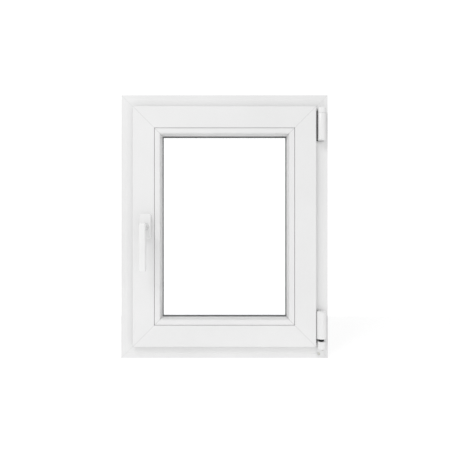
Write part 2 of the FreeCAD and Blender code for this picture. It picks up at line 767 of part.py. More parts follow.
def drive_pinion():
    """Pinion with a hub on each side and a square hole for the spindle."""
    body = new_body()
    pad(body, "XZ", [(0, 0, pitch_radius - dedendum)], *pinion_y)
    tooth_root = pitch_radius - dedendum - wall
    tooth = [(tooth_root, -root_half), (pitch_radius + addendum, -tip_half),
             (pitch_radius + addendum, tip_half), (tooth_root, root_half)]
    first = pad(body, "XZ", [tooth], *pinion_y)
    ring = body.newObject("PartDesign::PolarPattern", scrap_name("Teeth"))
    ring.Originals = [first]
    ring.Axis = (origin_plane(body, "Y_Axis"), [""])
    ring.Angle = 360
    bind(ring, "Occurrences", size("pinion_teeth"))
    body.Tip = ring
    doc.recompute()
    pad(body, "XZ", [(0, 0, hub_radius)], *case_depth_y)
    half = size("spindle_square") / 2 + size("fit_gap")
    square = [(-half, -half), (half, -half), (half, half), (-half, half)]
    pocket(body, "XZ", [square], case_depth_y[0] - 1, case_depth_y[1] + 1)
    bind(body, "Placement.Base.x", handle_x)
    bind(body, "Placement.Base.z", handle_z)
    return body


keep(gear_case(), "gear_case")
keep(drive_pinion(), "drive_pinion")

# The rods end clear of the corner drives at both ends of their travel.
leg = size("corner_leg")
corner_gap = size("corner_gap")
cam_setback = size("cam_setback")
left_rod_z = (side_bottom + leg + travel + corner_gap, side_top - leg - corner_gap)
top_rod_start = side_left + leg + travel + corner_gap
top_rod_x = (top_rod_start, top_rod_start + size("top_rod_length"))
bottom_rod_start = side_left + leg + corner_gap
bottom_rod_x = (bottom_rod_start, bottom_rod_start + size("bottom_rod_length") + travel)
left_cams = (left_rod_z[0] + cam_setback, left_rod_z[1] - cam_setback)
top_cams = (top_rod_x[0] + cam_setback,)
bottom_cams = (bottom_rod_x[0] + cam_setback, bottom_rod_x[1] - cam_setback)


def drive_rod_left():
    """Flat rod with a toothed rack where it passes the pinion."""
    body = new_body()
    flat = [(rod_x[0], rod_y[0]), (rod_x[1], rod_y[0]), (rod_x[1], rod_y[1]), (rod_x[0], rod_y[1])]
    pad(body, "XY", [flat], *left_rod_z)
    root_line = pitch_line - dedendum
    if root_line.value <= rod_x[0].value:
        raise RuntimeError("the rack's teeth cut through the rod")
    below = size("rack_spare")
    rack_teeth = math.ceil(size("pinion_teeth").value / 2 + 2 * below.value)
    rack_z = (handle_z - (below + 1) * tooth_pitch, handle_z - (below - rack_teeth) * tooth_pitch)
    thick = [(rod_x[0], rack_z[0]), (root_line, rack_z[0]), (root_line, rack_z[1]),
             (rod_x[0], rack_z[1])]
    if root_line.value > rod_x[1].value:
        pad(body, "XZ", [thick], *pinion_y)
    else:
        rebate = [(root_line, rack_z[0]), (rod_x[1] + 1, rack_z[0]), (rod_x[1] + 1, rack_z[1]),
                  (root_line, rack_z[1])]
        pocket(body, "XZ", [rebate], *rod_y)
    middle = handle_z - (below - 0.5) * tooth_pitch
    tooth = [(root_line - addendum / 2, middle - root_half),
             (pitch_line + addendum, middle - tip_half),
             (pitch_line + addendum, middle + tip_half),
             (root_line - addendum / 2, middle + root_half)]
    first = pad(body, "XZ", [tooth], *pinion_y)
    rack = body.newObject("PartDesign::LinearPattern", scrap_name("Teeth"))
    rack.Originals = [first]
    rack.Direction = (origin_plane(body, "Z_Axis"), [""])
    bind(rack, "Length", (rack_teeth - 1) * tooth_pitch)
    rack.Occurrences = rack_teeth
    body.Tip = rack
    doc.recompute()
    return body


def plain_rod(side, span):
    """Flat rod in the groove of the top or bottom rail."""
    if side == "top":
        high = side_top - size("seat_depth") - slide_gap
        return block(span, rod_y, (high - size("rod_thickness"), high))
    low = side_bottom + size("seat_depth") + slide_gap
    return block(span, rod_y, (low, low + size("rod_thickness")))


def cam(side, place):
    """Locking cam: a stem from the rod through the faceplate and a wider head."""
    axis = "X" if side == "left" else "Z"
    sign = 1 if side == "top" else -1
    face = {"left": side_left, "bottom": side_bottom, "top": side_top}[side]
    rod_face = face - sign * (size("seat_depth") + slide_gap)
    head_start = face + sign * size("seal_clear")
    head_end = face + sign * size("cam_reach")
    spots = (groove_y, place) if side == "left" else (place, groove_y)
    pieces = []
    for start, end, radius in ((rod_face, head_start, size("cam_stem")),
                               (head_start, head_end, size("cam_radius"))):
        span = (start, end) if sign > 0 else (end, start)
        pieces.append(bar(axis, spots[0], spots[1], span, radius))
    return fuse(*pieces)


def along_plate(side, span, low_skin, high_skin, half):
    """Block on a rebate face: along the profile, centred on the groove, between two levels."""
    across = mid_span(groove_y, half * 2)
    if side == "left":
        return block((low_skin, high_skin), across, span)
    return block(span, across, (low_skin, high_skin))


def faceplate(side, span, cams, direction, extra_tools):
    """Cover strip over the rods with a slot for each cam's travel."""
    face = {"left": side_left, "bottom": side_bottom, "top": side_top}[side]
    sign = -1 if side == "top" else 1
    skins = (face, face + sign * size("seat_depth"))
    low_skin, high_skin = (skins[1], skins[0]) if side == "top" else skins
    plate = along_plate(side, span, low_skin, high_skin, size("groove_seat") / 2 - slide_gap / 2)
    tools = list(extra_tools)
    half = size("cam_stem") + slide_gap
    for place in cams:
        reach = (place - half, place + travel + half)
        if direction < 0:
            reach = (place - travel - half, place + half)
        tools.append(along_plate(side, reach, low_skin - 1, high_skin + 1, half))
    return cut(plate, *tools) if tools else plate


keep(drive_rod_left(), "drive_rod_left")
keep(plain_rod("top", top_rod_x), "drive_rod_top")
keep(plain_rod("bottom", bottom_rod_x), "drive_rod_bottom")
keep(group(*[cam("left", place) for place in left_cams]), "locking_cams_left")
keep(group(*[cam("top", place) for place in top_cams]), "locking_cam_top")
keep(group(*[cam("bottom", place) for place in bottom_cams]), "locking_cams_bottom")

slider_x = hinge_x - size("arm_length")
slider_slot = along_plate("top", (slider_x - size("pin_radius") - wall,
                                  slider_x + size("pin_radius") + size("slider_travel")),
                          side_top - size("seat_depth") - 1, side_top + 1,
                          size("pin_radius") + size("steel_wall"))
top_plate_x = (side_left + leg, slider_x + 2 * leg)
bottom_plate_x = (side_left + leg, bottom_rod_x[1] + travel)
keep(faceplate("left", (side_bottom + leg, side_top - leg), left_cams, -1, []), "faceplate_left")
keep(faceplate("top", top_plate_x, top_cams, -1, [slider_slot]), "faceplate_top")
keep(faceplate("bottom", bottom_plate_x, bottom_cams, 1, []), "faceplate_bottom")


def corner_drive(side):
    """Angle housing that carries the flexible band from one rod to the next round a corner."""
    end = side_bottom if side == "bottom" else side_top
    sign = 1 if side == "bottom" else -1
    inner = end + sign * size("seat_depth")
    far = end + sign * leg
    upright = block(plate_x, plate_y, (end, far) if sign > 0 else (far, end))
    level = block((side_left, side_left + leg), plate_y, (end, inner) if sign > 0 else (inner, end))
    band_end = inner + sign * (slide_gap + size("rod_thickness"))
    band_far = far - sign * slide_gap
    band_x = (plate_x[1], rod_x[1])
    rise = block(band_x, rod_y, (inner, band_far) if sign > 0 else (band_far, inner))
    run = block((plate_x[1], side_left + leg - slide_gap), rod_y,
                (inner, band_end) if sign > 0 else (band_end, inner))
    return fuse(upright, level, rise, run)


keep(corner_drive("bottom"), "corner_drive_bottom")
keep(corner_drive("top"), "corner_drive_top")


def striker(side, place, direction):
    """Keep plate on the frame with a lip along each side of the cam's channel."""
    middle = place + direction * travel / 2
    span = mid_span(middle, size("striker_length"))
    floor = {"left": floor_left, "bottom": floor_bottom, "top": floor_top}[side]
    sign = -1 if side == "top" else 1
    top = floor + sign * size("striker_height")
    low_skin, high_skin = (top, floor) if side == "top" else (floor, top)
    whole = along_plate(side, span, low_skin, high_skin, size("striker_width") / 2)
    base = floor + sign * size("striker_base")
    channel_low, channel_high = (top - 1, base) if side == "top" else (base, top + 1)
    channel = along_plate(side, (span[0] - 1, span[1] + 1), channel_low, channel_high,
                          size("striker_channel") / 2)
    holes = [striker_drill(side, spot, size("screw_radius")) for spot in striker_spots(side, place,
                                                                                      direction)]
    return cut(whole, channel, *holes)


def striker_spots(side, place, direction):
    middle = place + direction * travel / 2
    return mid_span(middle, size("striker_screws"))


def striker_drill(side, spot, radius):
    """Bar through the striker's base and the frame's wall below it."""
    floor = {"left": floor_left, "bottom": floor_bottom, "top": floor_top}[side]
    sign = -1 if side == "top" else 1
    ends = (floor - sign * screw_depth, floor + sign * size("striker_base"))
    span = ends if sign > 0 else (ends[1], ends[0])
    if side == "left":
        return bar("X", groove_y, spot, span, radius)
    return bar("Z", spot, groove_y, span, radius)


def striker_screw(side, spot):
    floor = {"left": floor_left, "bottom": floor_bottom, "top": floor_top}[side]
    sign = -1 if side == "top" else 1
    base = floor + sign * size("striker_base")
    head = base + sign * size("steel_wall")
    span = (base, head) if sign > 0 else (head, base)
    axis = "X" if side == "left" else "Z"
    place = (groove_y, spot) if side == "left" else (spot, groove_y)
    shank = striker_drill(side, spot, size("screw_radius"))
    return fuse(shank, bar(axis, place[0], place[1], span, size("screw_head")))


strikers = []
striker_screws = []
steel_drills = []
for side, cams, direction in (("left", left_cams, -1), ("top", top_cams, -1),
                              ("bottom", bottom_cams, 1)):
    for place in cams:
        strikers.append(striker(side, place, direction))
        spots = striker_spots(side, place, direction)
        striker_screws += [striker_screw(side, spot) for spot in spots]
        steel_drills += [striker_drill(side, spot, size("screw_radius")) for spot in spots]
        floor = {"left": floor_left, "bottom": floor_bottom, "top": floor_top}[side]
        sign = -1 if side == "top" else 1
        ends = (floor - sign * screw_depth, floor + sign)
        span = ends if sign > 0 else (ends[1], ends[0])
        plane = "YZ" if side == "left" else "XY"
        circles = [(groove_y, spot, size("screw_radius")) if side == "left"
                   else (spot, groove_y, size("screw_radius")) for spot in spots]
        pocket(frame_profiles[side], plane, circles, *span)
keep(group(*strikers), "strikers")
keep(group(*striker_screws), "striker_screws")


# ---------------------------------------------------------------- hinges on the right

leaf = size("leaf_thickness")
pin_radius = size("pin_radius")
fit = size("fit_gap")
knuckle = size("knuckle_radius")
cover_gap = size("cover_gap")
pivot_z = frame_bottom + size("pivot_height")
low_z = (frame_bottom + size("low_cover_start"),
         frame_bottom + size("low_cover_start") + size("low_cover_length"))
split_z = frame_top - size("high_cover_drop")
high_z = (split_z - size("high_cover_length"), split_z)
cap_z = (split_z + slide_gap * 2, split_z + size("high_cap_length"))
leaf_y = (room_face - size("leaf_clear") - leaf, room_face - size("leaf_clear"))
gap_low_y = lip_back + size("leaf_clear")


def hinge_bar(span, radius):
    return bar("Z", hinge_x, hinge_y, span, radius)


def hinge_cover(span, closed_low, cuts):
    """Moulded sleeve over a knuckle, closed at one end, flat where it backs on the window."""
    dome = size("cover_dome")
    sleeve = hinge_bar(span, cover_radius)
    soft = doc.addObject("Part::Fillet", scrap_name("Soft"))
    soft.Base = sleeve
    doc.recompute()
    level = span[0] if closed_low else span[1]
    rim = [index for index, edge in enumerate(sleeve.Shape.Edges, start=1)
           if edge.Closed and abs(edge.BoundBox.ZMin - level.value) < 0.001]
    soft.Edges = [(index, dome.value, dome.value) for index in rim]
    bore_span = (span[0] + leaf, span[1] + 1) if closed_low else (span[0] - 1, span[1] - leaf)
    tools = [hinge_bar(bore_span, knuckle + cover_gap)]
    tools.append(block((hinge_x - cover_radius - 1, hinge_x + cover_radius + 1),
                       (leaf_y[0] - cover_gap, room_face + 1), (span[0] - 1, span[1] + 1)))
    tools += cuts
    return cut(soft, *tools)


def side_flat(span):
    """Tool that cuts an upper cover flat on the side by the sash."""
    flat_x = hinge_x - size("cover_side")
    return block((hinge_x - cover_radius - 1, flat_x), (hinge_y - cover_radius - 1, room_face),
                 (span[0] - 1, span[1] + 1))


# Lower hinge: a base on the frame, a swivelling cup with a cross pin, and a leaf on the sash.
cup_radius = size("cup_radius")
base_radius = knuckle + fit
tongue_half = pin_radius - 2 * cover_gap
tongue_reach = pin_radius + size("leaf_clear")
base_z = (pivot_z - size("pivot_drop"), pivot_z + size("pivot_rise"))
cup_z = (base_z[0] + leaf + slide_gap, base_z[1] - slide_gap)
cross_radius = size("steel_wall")
base_screw_spots = ((hinge_x - size("base_screw_side"), frame_bottom + size("base_screw_low")),
                    (hinge_x + size("base_screw_side"), frame_bottom + size("base_screw_high")))


def face_screw(x, z, start):
    """Countersunk screw driven through a plate on the frame's room face."""
    head = bar("Y", x, z, (start - size("steel_wall"), start), size("screw_head"))
    return fuse(head, bar("Y", x, z, (start, room_face + screw_depth), size("screw_radius")))


def side_screw(y, z, start, end):
    """Screw along X: the head stands on the `start` side of a plate."""
    out = 1 if end.value > start.value else -1
    head = (start - out * size("steel_wall"), start)
    shank = (start, end)
    if out < 0:
        head, shank = (head[1], head[0]), (end, start)
    return fuse(bar("X", y, z, head, size("screw_head")), bar("X", y, z, shank, size("screw_radius")))


base_plate_y = (room_face - size("striker_base"), room_face)
base_body = fuse(
    block((hinge_x - knuckle, hinge_x + knuckle), base_plate_y,
          (frame_bottom + size("base_foot"), base_z[1])),
    block((hinge_x - knuckle, hinge_x + knuckle), (hinge_y, room_face), base_z),
    hinge_bar(base_z, base_radius))
base_tools = [hinge_bar((base_z[0] + leaf, base_z[1] + 1), cup_radius + fit)]
base_tools += [bar("Y", x, z, (base_plate_y[0] - 1, room_face + 1), size("screw_radius"))
               for x, z in base_screw_spots]
keep(cut(base_body, *base_tools), "bottom_hinge_base")
for side, (x, z) in zip(("bottom", "right"), base_screw_spots):
    pocket(frame_profiles[side], "XZ", [(x, z, size("screw_radius"))], room_face - 1,
           room_face + screw_depth)

cap_ring = hinge_bar((base_z[0], base_z[1] + slide_gap + size("steel_wall")),
                     base_radius + size("steel_wall"))
cap_tools = [hinge_bar((base_z[0] - 1, base_z[1] + slide_gap), base_radius + fit),
             hinge_bar((base_z[0], base_z[1] + leaf), cup_radius + cover_gap),
             block((hinge_x - cover_radius, hinge_x + cover_radius),
                   (hinge_y, room_face), (base_z[0] - 1, base_z[1] + leaf))]
keep(cut(cap_ring, *cap_tools), "bottom_hinge_cap")

cross_bar = bar("X", hinge_y, pivot_z, (hinge_x - cup_radius + cover_gap,
                                        hinge_x + cup_radius - cover_gap), cross_radius)
cross_drill = bar("X", hinge_y, pivot_z, (hinge_x - cup_radius - 1, hinge_x + cup_radius + 1),
                  cross_radius)
cup_slot = block(mid_span(hinge_x, 2 * tongue_half + 2 * slide_gap),
                 (hinge_y - cup_radius - 1, hinge_y + cup_radius + 1),
                 (pivot_z - tongue_reach - slide_gap * 2, base_z[1] + 1))
keep(cut(hinge_bar(cup_z, cup_radius), cup_slot, cross_drill), "pivot_cup")
keep(cross_bar, "pivot_cross_pin")

shank_z = (base_z[1] + size("steel_wall"), low_z[1] - 2 * leaf)
tongue = fuse(
    block(mid_span(hinge_x, 2 * tongue_half), mid_span(hinge_y, 2 * tongue_reach),
          (pivot_z, shank_z[0])),
    bar("X", hinge_y, pivot_z, mid_span(hinge_x, 2 * tongue_half), tongue_reach),
    hinge_bar((pivot_z + size("collar_start"), low_z[0]), size("collar_radius")),
    hinge_bar(shank_z, pin_radius))
tongue_drill = bar("X", hinge_y, pivot_z, mid_span(hinge_x, 4 * tongue_half), cross_radius + fit)
keep(cut(tongue, tongue_drill), "bottom_hinge_pin")

low_knuckle_z = (low_z[0] + size("leaf_clear"), low_z[1] - leaf - cover_gap)
skirt_z = (pivot_z + size("skirt_start"), low_knuckle_z[1])
leaf_screw_spots = [(groove_y + seat_half + wall + size("screw_radius"), level)
                    for level in mid_span((low_z[0] + low_z[1]) / 2, size("rosette_screws"))]
leaf_body = fuse(
    hinge_bar(low_knuckle_z, knuckle),
    block((hinge_x - knuckle, hinge_x + leaf), (hinge_y, leaf_y[1]), low_knuckle_z),
    block((side_right + leaf, hinge_x), leaf_y, low_knuckle_z),
    block((side_right + leaf, hinge_x - knuckle - size("skirt_clear")), leaf_y, skirt_z),
    block((side_right, side_right + 2 * leaf), (leaf_y[0], leaf_screw_spots[0][0] + 2 * leaf),
          low_knuckle_z))
leaf_tools = [hinge_bar(low_z, pin_radius)]
leaf_tools += [bar("X", y, z, (side_right - 1, side_right + 3 * leaf), size("screw_radius"))
               for y, z in leaf_screw_spots]
keep(cut(leaf_body, *leaf_tools), "bottom_hinge_leaf")
leaf_slot = block((hinge_x - cover_radius - 1, hinge_x + leaf + cover_gap),
                  (hinge_y, room_face), (low_z[0] - 1, low_z[1] - leaf))
keep(hinge_cover(low_z, False, [leaf_slot]), "bottom_hinge_cover")
keep(group(*[side_screw(y, z, side_right + 2 * leaf, side_right - screw_depth)
             for y, z in leaf_screw_spots]), "hinge_screws_sash")
pocket(sash_profiles["right"], "YZ", [(y, z, size("screw_radius")) for y, z in leaf_screw_spots],
       side_right - screw_depth, side_right + 1)

# Upper hinge: a bracket on the frame holds the pin, and the stay arm turns on the pin's top.
bracket_z = (high_z[0] + leaf + cover_gap, high_z[1])
bracket_screw_spots = [(groove_y + size("screw_head"), level)
                       for level in mid_span((high_z[0] + high_z[1]) / 2, size("rosette_screws"))]
bracket_body = fuse(
    hinge_bar(bracket_z, knuckle),
    block((hinge_x - knuckle, hinge_x + knuckle), (hinge_y, room_face), bracket_z),
    block((floor_right - size("striker_base"), hinge_x + knuckle), base_plate_y, high_z),
    block((floor_right - size("striker_base"), floor_right),
          (base_plate_y[0], groove_y + seat_half), bracket_z))
bracket_tools = [hinge_bar((bracket_z[0] + leaf, bracket_z[1] + 1), pin_radius)]
bracket_tools += [bar("X", y, z, (floor_right - leaf, floor_right + 1), size("screw_radius"))
                  for y, z in bracket_screw_spots]
keep(cut(bracket_body, *bracket_tools), "top_hinge_bracket")
keep(hinge_bar((bracket_z[0] + leaf, cap_z[1] - leaf - cover_gap), pin_radius), "top_hinge_pin")
keep(hinge_cover(high_z, True, [block((hinge_x - cover_radius - 1, hinge_x + cover_radius + 1),
                                      (hinge_y, room_face), (high_z[0] + leaf, high_z[1] + 1)),
                                side_flat(high_z)]), "top_hinge_cover")
pocket(frame_profiles["right"], "YZ",
       [(y, z, size("screw_radius")) for y, z in bracket_screw_spots],
       floor_right - 1, floor_right + screw_depth)
steel_drills += [bar("X", y, z, (floor_right, floor_right + screw_depth), size("screw_radius"))
                 for y, z in bracket_screw_spots]
keep(cut(frame_steel_set, *steel_drills), "frame_reinforcements")
hinge_screws = [side_screw(y, z, floor_right - size("striker_base"), floor_right + screw_depth)
                for y, z in bracket_screw_spots]
hinge_screws += [face_screw(x, z, base_plate_y[0]) for x, z in base_screw_spots]
keep(group(*hinge_screws), "hinge_screws_frame")

# Stay arm: knuckle, a strip through the gap behind the sash's lip, then the long flat arm.
arm_knuckle_z = (cap_z[0] + size("leaf_clear"), cap_z[1] - leaf - cover_gap)
arm_z = mid_span((side_top + floor_top) / 2, leaf)
arm_y = mid_span(groove_y, size("arm_width"))
gap_strip_z = (arm_knuckle_z[0], floor_top - leaf)
elbow_x = (side_right + leaf, side_right + leaf + size("arm_width") / 2)
arm_body = fuse(
    hinge_bar(arm_knuckle_z, knuckle),
    block((hinge_x - knuckle, hinge_x), (hinge_y, leaf_y[1]), gap_strip_z),
    block((elbow_x[0], hinge_x), (gap_low_y, leaf_y[1]), gap_strip_z),
    block(elbow_x, (gap_low_y, arm_y[1]), arm_z),
    block((slider_x - size("arm_width") / 2, elbow_x[1]), arm_y, arm_z))
slider_z = (side_top - 2 * leaf, arm_z[1])
arm_tools = [hinge_bar((cap_z[0], cap_z[1]), pin_radius + fit),
             bar("Z", slider_x, groove_y, (arm_z[0] - 1, arm_z[1] + 1), pin_radius)]
keep(cut(arm_body, *arm_tools), "stay_arm")
keep(bar("Z", slider_x, groove_y, slider_z, pin_radius), "stay_slider_pin")
cap_slot = block((hinge_x - cover_radius - 1, hinge_x + cover_gap),
                 (hinge_y, room_face), (cap_z[0] - 1, cap_z[1] - leaf))
keep(hinge_cover(cap_z, False, [cap_slot, side_flat(cap_z)]), "stay_arm_cap")


# ---------------------------------------------------------------- gaskets and drainage

sash_seal = ring_body(SASH_RING, size("sash_round") + seal_clear,
                      size("sash_cover") - size("sash_round") - 2 * seal_clear,
                      (lip_back, room_face - seal_clear))
gasket_cuts = [block((floor_right - 1, sash_right), (lip_back - 1, room_face), span)
               for span in ((skirt_z[0] - 1, low_z[1] + 1), (high_z[0] - 1, sash_top - leaf))]
keep(cut(sash_seal, *gasket_cuts), "sash_gasket")
keep(ring_body(FRAME_RING, frame_high - size("sash_cover"), size("outer_seal"),
               (sash_back + seal_clear, upstand_face)), "frame_gasket")

drain_x = mid_span(as_size(0), size("drain_spread"))
drain_half = size("drain_slot") / 2
drain_z = (frame_bottom + size("drain_low"), frame_bottom + size("drain_high"))
drain_caps = []
for middle in drain_x:
    hood = block(mid_span(middle, size("drain_width")),
                 (outdoor_face, outdoor_face + leaf), drain_z)
    hollow = block(mid_span(middle, size("drain_slot")),
                   (outdoor_face - 1, outdoor_face + leaf - size("steel_wall")),
                   (drain_z[0] - 1, drain_z[1] - leaf))
    drain_caps.append(cut(hood, hollow))
keep(group(*drain_caps), "drain_caps")
outer_slots = []
floor_slots = []
slot_rise = (frame_bottom + size("drain_slot_low"), frame_bottom + size("drain_slot_high"))
slot_y = mid_span(upstand_face - leaf, leaf)
for middle in drain_x:
    low, high = middle - drain_half, middle + drain_half
    outer_slots.append([(low, slot_rise[0]), (high, slot_rise[0]),
                        (high, slot_rise[1]), (low, slot_rise[1])])
    floor_slots.append([(low, slot_y[0]), (high, slot_y[0]), (high, slot_y[1]), (low, slot_y[1])])
pocket(frame_profiles["bottom"], "XZ", outer_slots, outdoor_face - wall - 1, outdoor_face + 1)
pocket(frame_profiles["bottom"], "XY", floor_slots, floor_bottom - wall - 1, floor_bottom + 1)


# ---------------------------------------------------------------- handle

rosette_x = mid_span(handle_x, size("rosette_width"))
rosette_z = mid_span(handle_z, size("rosette_height"))
rosette_front = sash_room - size("rosette_depth")
rosette_wall = size("rosette_wall")
neck = size("neck_radius")
base_front = sash_room - size("rosette_plate")
screw_levels = mid_span(handle_z, size("rosette_screws"))


def rectangle(x, z):
    return [(x[0], z[0]), (x[1], z[0]), (x[1], z[1]), (x[0], z[1])]


def inset_span(span, step):
    return (span[0] + step, span[1] - step)


rosette_cover = new_body()
pad(rosette_cover, "XZ", [rectangle(rosette_x, rosette_z)], rosette_front, sash_room)
round_edges(rosette_cover, "XZ", rectangle(rosette_x, rosette_z), size("rosette_round"))
round_off(rosette_cover, flat_faces(rosette_cover, "Y", rosette_front), size("edge_round"))
pocket(rosette_cover, "XZ", [rectangle(inset_span(rosette_x, rosette_wall),
                                       inset_span(rosette_z, rosette_wall))],
       rosette_front + rosette_wall, sash_room)
pocket(rosette_cover, "XZ", [(handle_x, handle_z, neck + cover_gap)], rosette_front - 1,
       sash_room)
keep(rosette_cover, "rosette_cover")

rosette_base = new_body()
base_inset = rosette_wall + slide_gap
pad(rosette_base, "XZ", [rectangle(inset_span(rosette_x, base_inset),
                                   inset_span(rosette_z, base_inset)),
                         (handle_x, handle_z, neck + cover_gap)], base_front, sash_room)
pocket(rosette_base, "XZ", [(handle_x, level, size("screw_radius")) for level in screw_levels],
       base_front - 1, sash_room + 1)
keep(rosette_base, "rosette_base")
pocket(sash_profiles["left"], "XZ",
       [(handle_x, level, size("screw_radius")) for level in screw_levels]
       + [(handle_x, handle_z, hub_radius)], sash_room - 1, rout_y[0] + 1)
rosette_screw_set = []
for level in screw_levels:
    head = bar("Y", handle_x, level, (base_front - rosette_wall, base_front), size("screw_head"))
    shank = bar("Y", handle_x, level, (base_front, case_depth_y[0] + leaf), size("screw_radius"))
    rosette_screw_set.append(fuse(head, shank))
keep(group(*rosette_screw_set), "rosette_screws")

lever_front = sash_room - size("handle_front")
lever_back = lever_front + size("handle_grip")
tip_z = handle_z - size("handle_drop")
tip_front = lever_front + size("handle_lean")
lever_x = mid_span(handle_x, size("handle_width"))
lever = new_body()
lever_side = [(lever_front, handle_z + neck), (lever_back, handle_z + neck),
              (lever_back, handle_z - 2 * neck), (tip_front + size("handle_tip"), tip_z),
              (tip_front, tip_z), (lever_front, handle_z - neck)]
pad(lever, "YZ", [lever_side], *lever_x)
end_edges = [lever_side[0], lever_side[1], lever_side[3], lever_side[4]]
round_edges(lever, "YZ", end_edges, size("handle_round"))
rims = flat_faces(lever, "X", lever_x[0]) + flat_faces(lever, "X", lever_x[1])
round_off(lever, rims, size("handle_soft"))
pad(lever, "XZ", [(handle_x, handle_z, neck)], lever_back - leaf, base_front)
spindle_half = size("spindle_square") / 2
square = rectangle(mid_span(handle_x, 2 * spindle_half), mid_span(handle_z, 2 * spindle_half))
pocket(lever, "XZ", [square], lever_back, base_front + 1)
keep(lever, "handle_lever")

spindle = new_body()
pad(spindle, "XZ", [square], lever_back, case_depth_y[1])
keep(spindle, "handle_spindle")


# ---------------------------------------------------------------- check and write

doc.recompute()
for item in doc.Objects:
    if "Invalid" in item.State or "Error" in item.State:
        raise RuntimeError("%s failed: %s" % (item.Name, item.State))
for item in nodes:
    if item.Shape.isNull() or not item.Shape.isValid():
        raise RuntimeError("%s has no valid shape" % item.Label)

os.makedirs("parts", exist_ok=True)
for item in nodes:
    item.Shape.exportStep(os.path.join("parts", item.Label + ".step"))
print("%d sub-parts written" % len(nodes))
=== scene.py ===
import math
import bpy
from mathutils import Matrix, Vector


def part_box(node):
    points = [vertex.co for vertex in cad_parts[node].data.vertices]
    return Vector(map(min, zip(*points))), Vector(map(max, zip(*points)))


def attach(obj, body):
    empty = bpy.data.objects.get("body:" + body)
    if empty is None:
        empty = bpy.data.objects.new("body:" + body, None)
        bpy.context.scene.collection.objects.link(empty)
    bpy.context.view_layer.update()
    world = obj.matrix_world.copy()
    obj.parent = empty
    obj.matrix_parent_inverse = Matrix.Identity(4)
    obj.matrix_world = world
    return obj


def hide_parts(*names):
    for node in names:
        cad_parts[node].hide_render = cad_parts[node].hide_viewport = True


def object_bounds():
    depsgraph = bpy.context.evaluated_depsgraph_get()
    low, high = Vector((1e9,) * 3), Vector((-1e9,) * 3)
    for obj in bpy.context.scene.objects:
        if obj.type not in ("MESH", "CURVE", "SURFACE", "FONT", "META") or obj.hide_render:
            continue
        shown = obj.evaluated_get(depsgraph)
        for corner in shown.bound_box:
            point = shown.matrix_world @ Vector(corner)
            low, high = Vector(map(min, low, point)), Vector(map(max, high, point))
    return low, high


bl_info = {
    "name": "Tilt and Turn Window",
    "version": (1, 0, 0),
    "blender": (4, 5, 0),
    "location": "View3D > Sidebar > Window",
    "description": "Dresses the framed model of a tilt-and-turn window with covers, handle and finishes",
    "category": "Add Mesh",
}

import bpy
from bpy.props import FloatProperty, FloatVectorProperty, PointerProperty
from mathutils import Vector

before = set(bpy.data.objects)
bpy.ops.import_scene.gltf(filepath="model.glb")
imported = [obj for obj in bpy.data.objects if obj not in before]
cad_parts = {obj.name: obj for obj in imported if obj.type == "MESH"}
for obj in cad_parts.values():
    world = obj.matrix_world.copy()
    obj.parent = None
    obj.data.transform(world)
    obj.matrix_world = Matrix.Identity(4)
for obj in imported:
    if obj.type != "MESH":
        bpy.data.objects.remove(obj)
cad_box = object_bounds()

MM = 0.001
SIDES = ("left", "right", "bottom", "top")


# ---------------------------------------------------------------- sizes and colours

def length(name, note, default):
    return FloatProperty(name=name, description=note, default=default, subtype="DISTANCE", unit="LENGTH")


def colour(name, note, default):
    return FloatVectorProperty(name=name, description=note, default=default, subtype="COLOR", size=3,
                               min=0.0, max=1.0)


class WindowSizes(bpy.types.PropertyGroup):
    """Sizes of the pieces that are modelled here; places and outlines come from the frame."""
    lever_round: length("Lever rounding", "Rounding along the lever's edges", 4.6 * MM)
    plate_corner: length("Rosette corner", "Corner radius of the rosette", 5.5 * MM)
    plate_rim: length("Rosette rim", "Rounding of the rosette's front edge", 2.2 * MM)
    plate_wall: length("Rosette wall", "Wall of the rosette cover", 1.8 * MM)
    plate_gap: length("Rosette gap", "Gap between the rosette and the lever's neck", 0.3 * MM)
    cover_dome: length("Cover dome", "Rounding at a hinge cover's closed end", 4.5 * MM)
    cover_wall: length("Cover wall", "Wall of a hinge cover", 1.15 * MM)
    rim_round: length("Rim rounding", "Rounding at a hinge cover's open end", 0.5 * MM)
    cap_round: length("Cap rounding", "Rounding of the pivot cap's top edge", 1.4 * MM)
    cap_wall: length("Cap wall", "Wall of the pivot cap", 1.4 * MM)
    cap_gap: length("Cap gap", "Gap between the pivot cap and the cup", 0.3 * MM)
    seal_round: length("Gasket rounding", "Rounding of the gaskets' noses", 1.1 * MM)
    seal_show: length("Gasket shows", "Gasket that shows beyond the bead", 2.8 * MM)
    seal_strip: length("Gasket strip", "Width of the frame's gasket", 4.0 * MM)
    hood_width: length("Hood width", "Width of one drain hood", 33.0 * MM)
    hood_round: length("Hood rounding", "Rounding of the drain hoods", 0.5 * MM)
    hood_edge: length("Hood edge", "Edge round the dish in a drain hood's face", 2.2 * MM)
    hood_dish: length("Hood dish", "Depth of the dish in a drain hood's face", 0.5 * MM)
    hood_wall: length("Hood wall", "Wall of a drain hood", 0.8 * MM)
    hood_hollow: length("Hood hollow", "Height of the hollow inside a drain hood", 9.0 * MM)
    weld_width: length("Weld line", "Half width of the mitre weld's groove", 0.75 * MM)


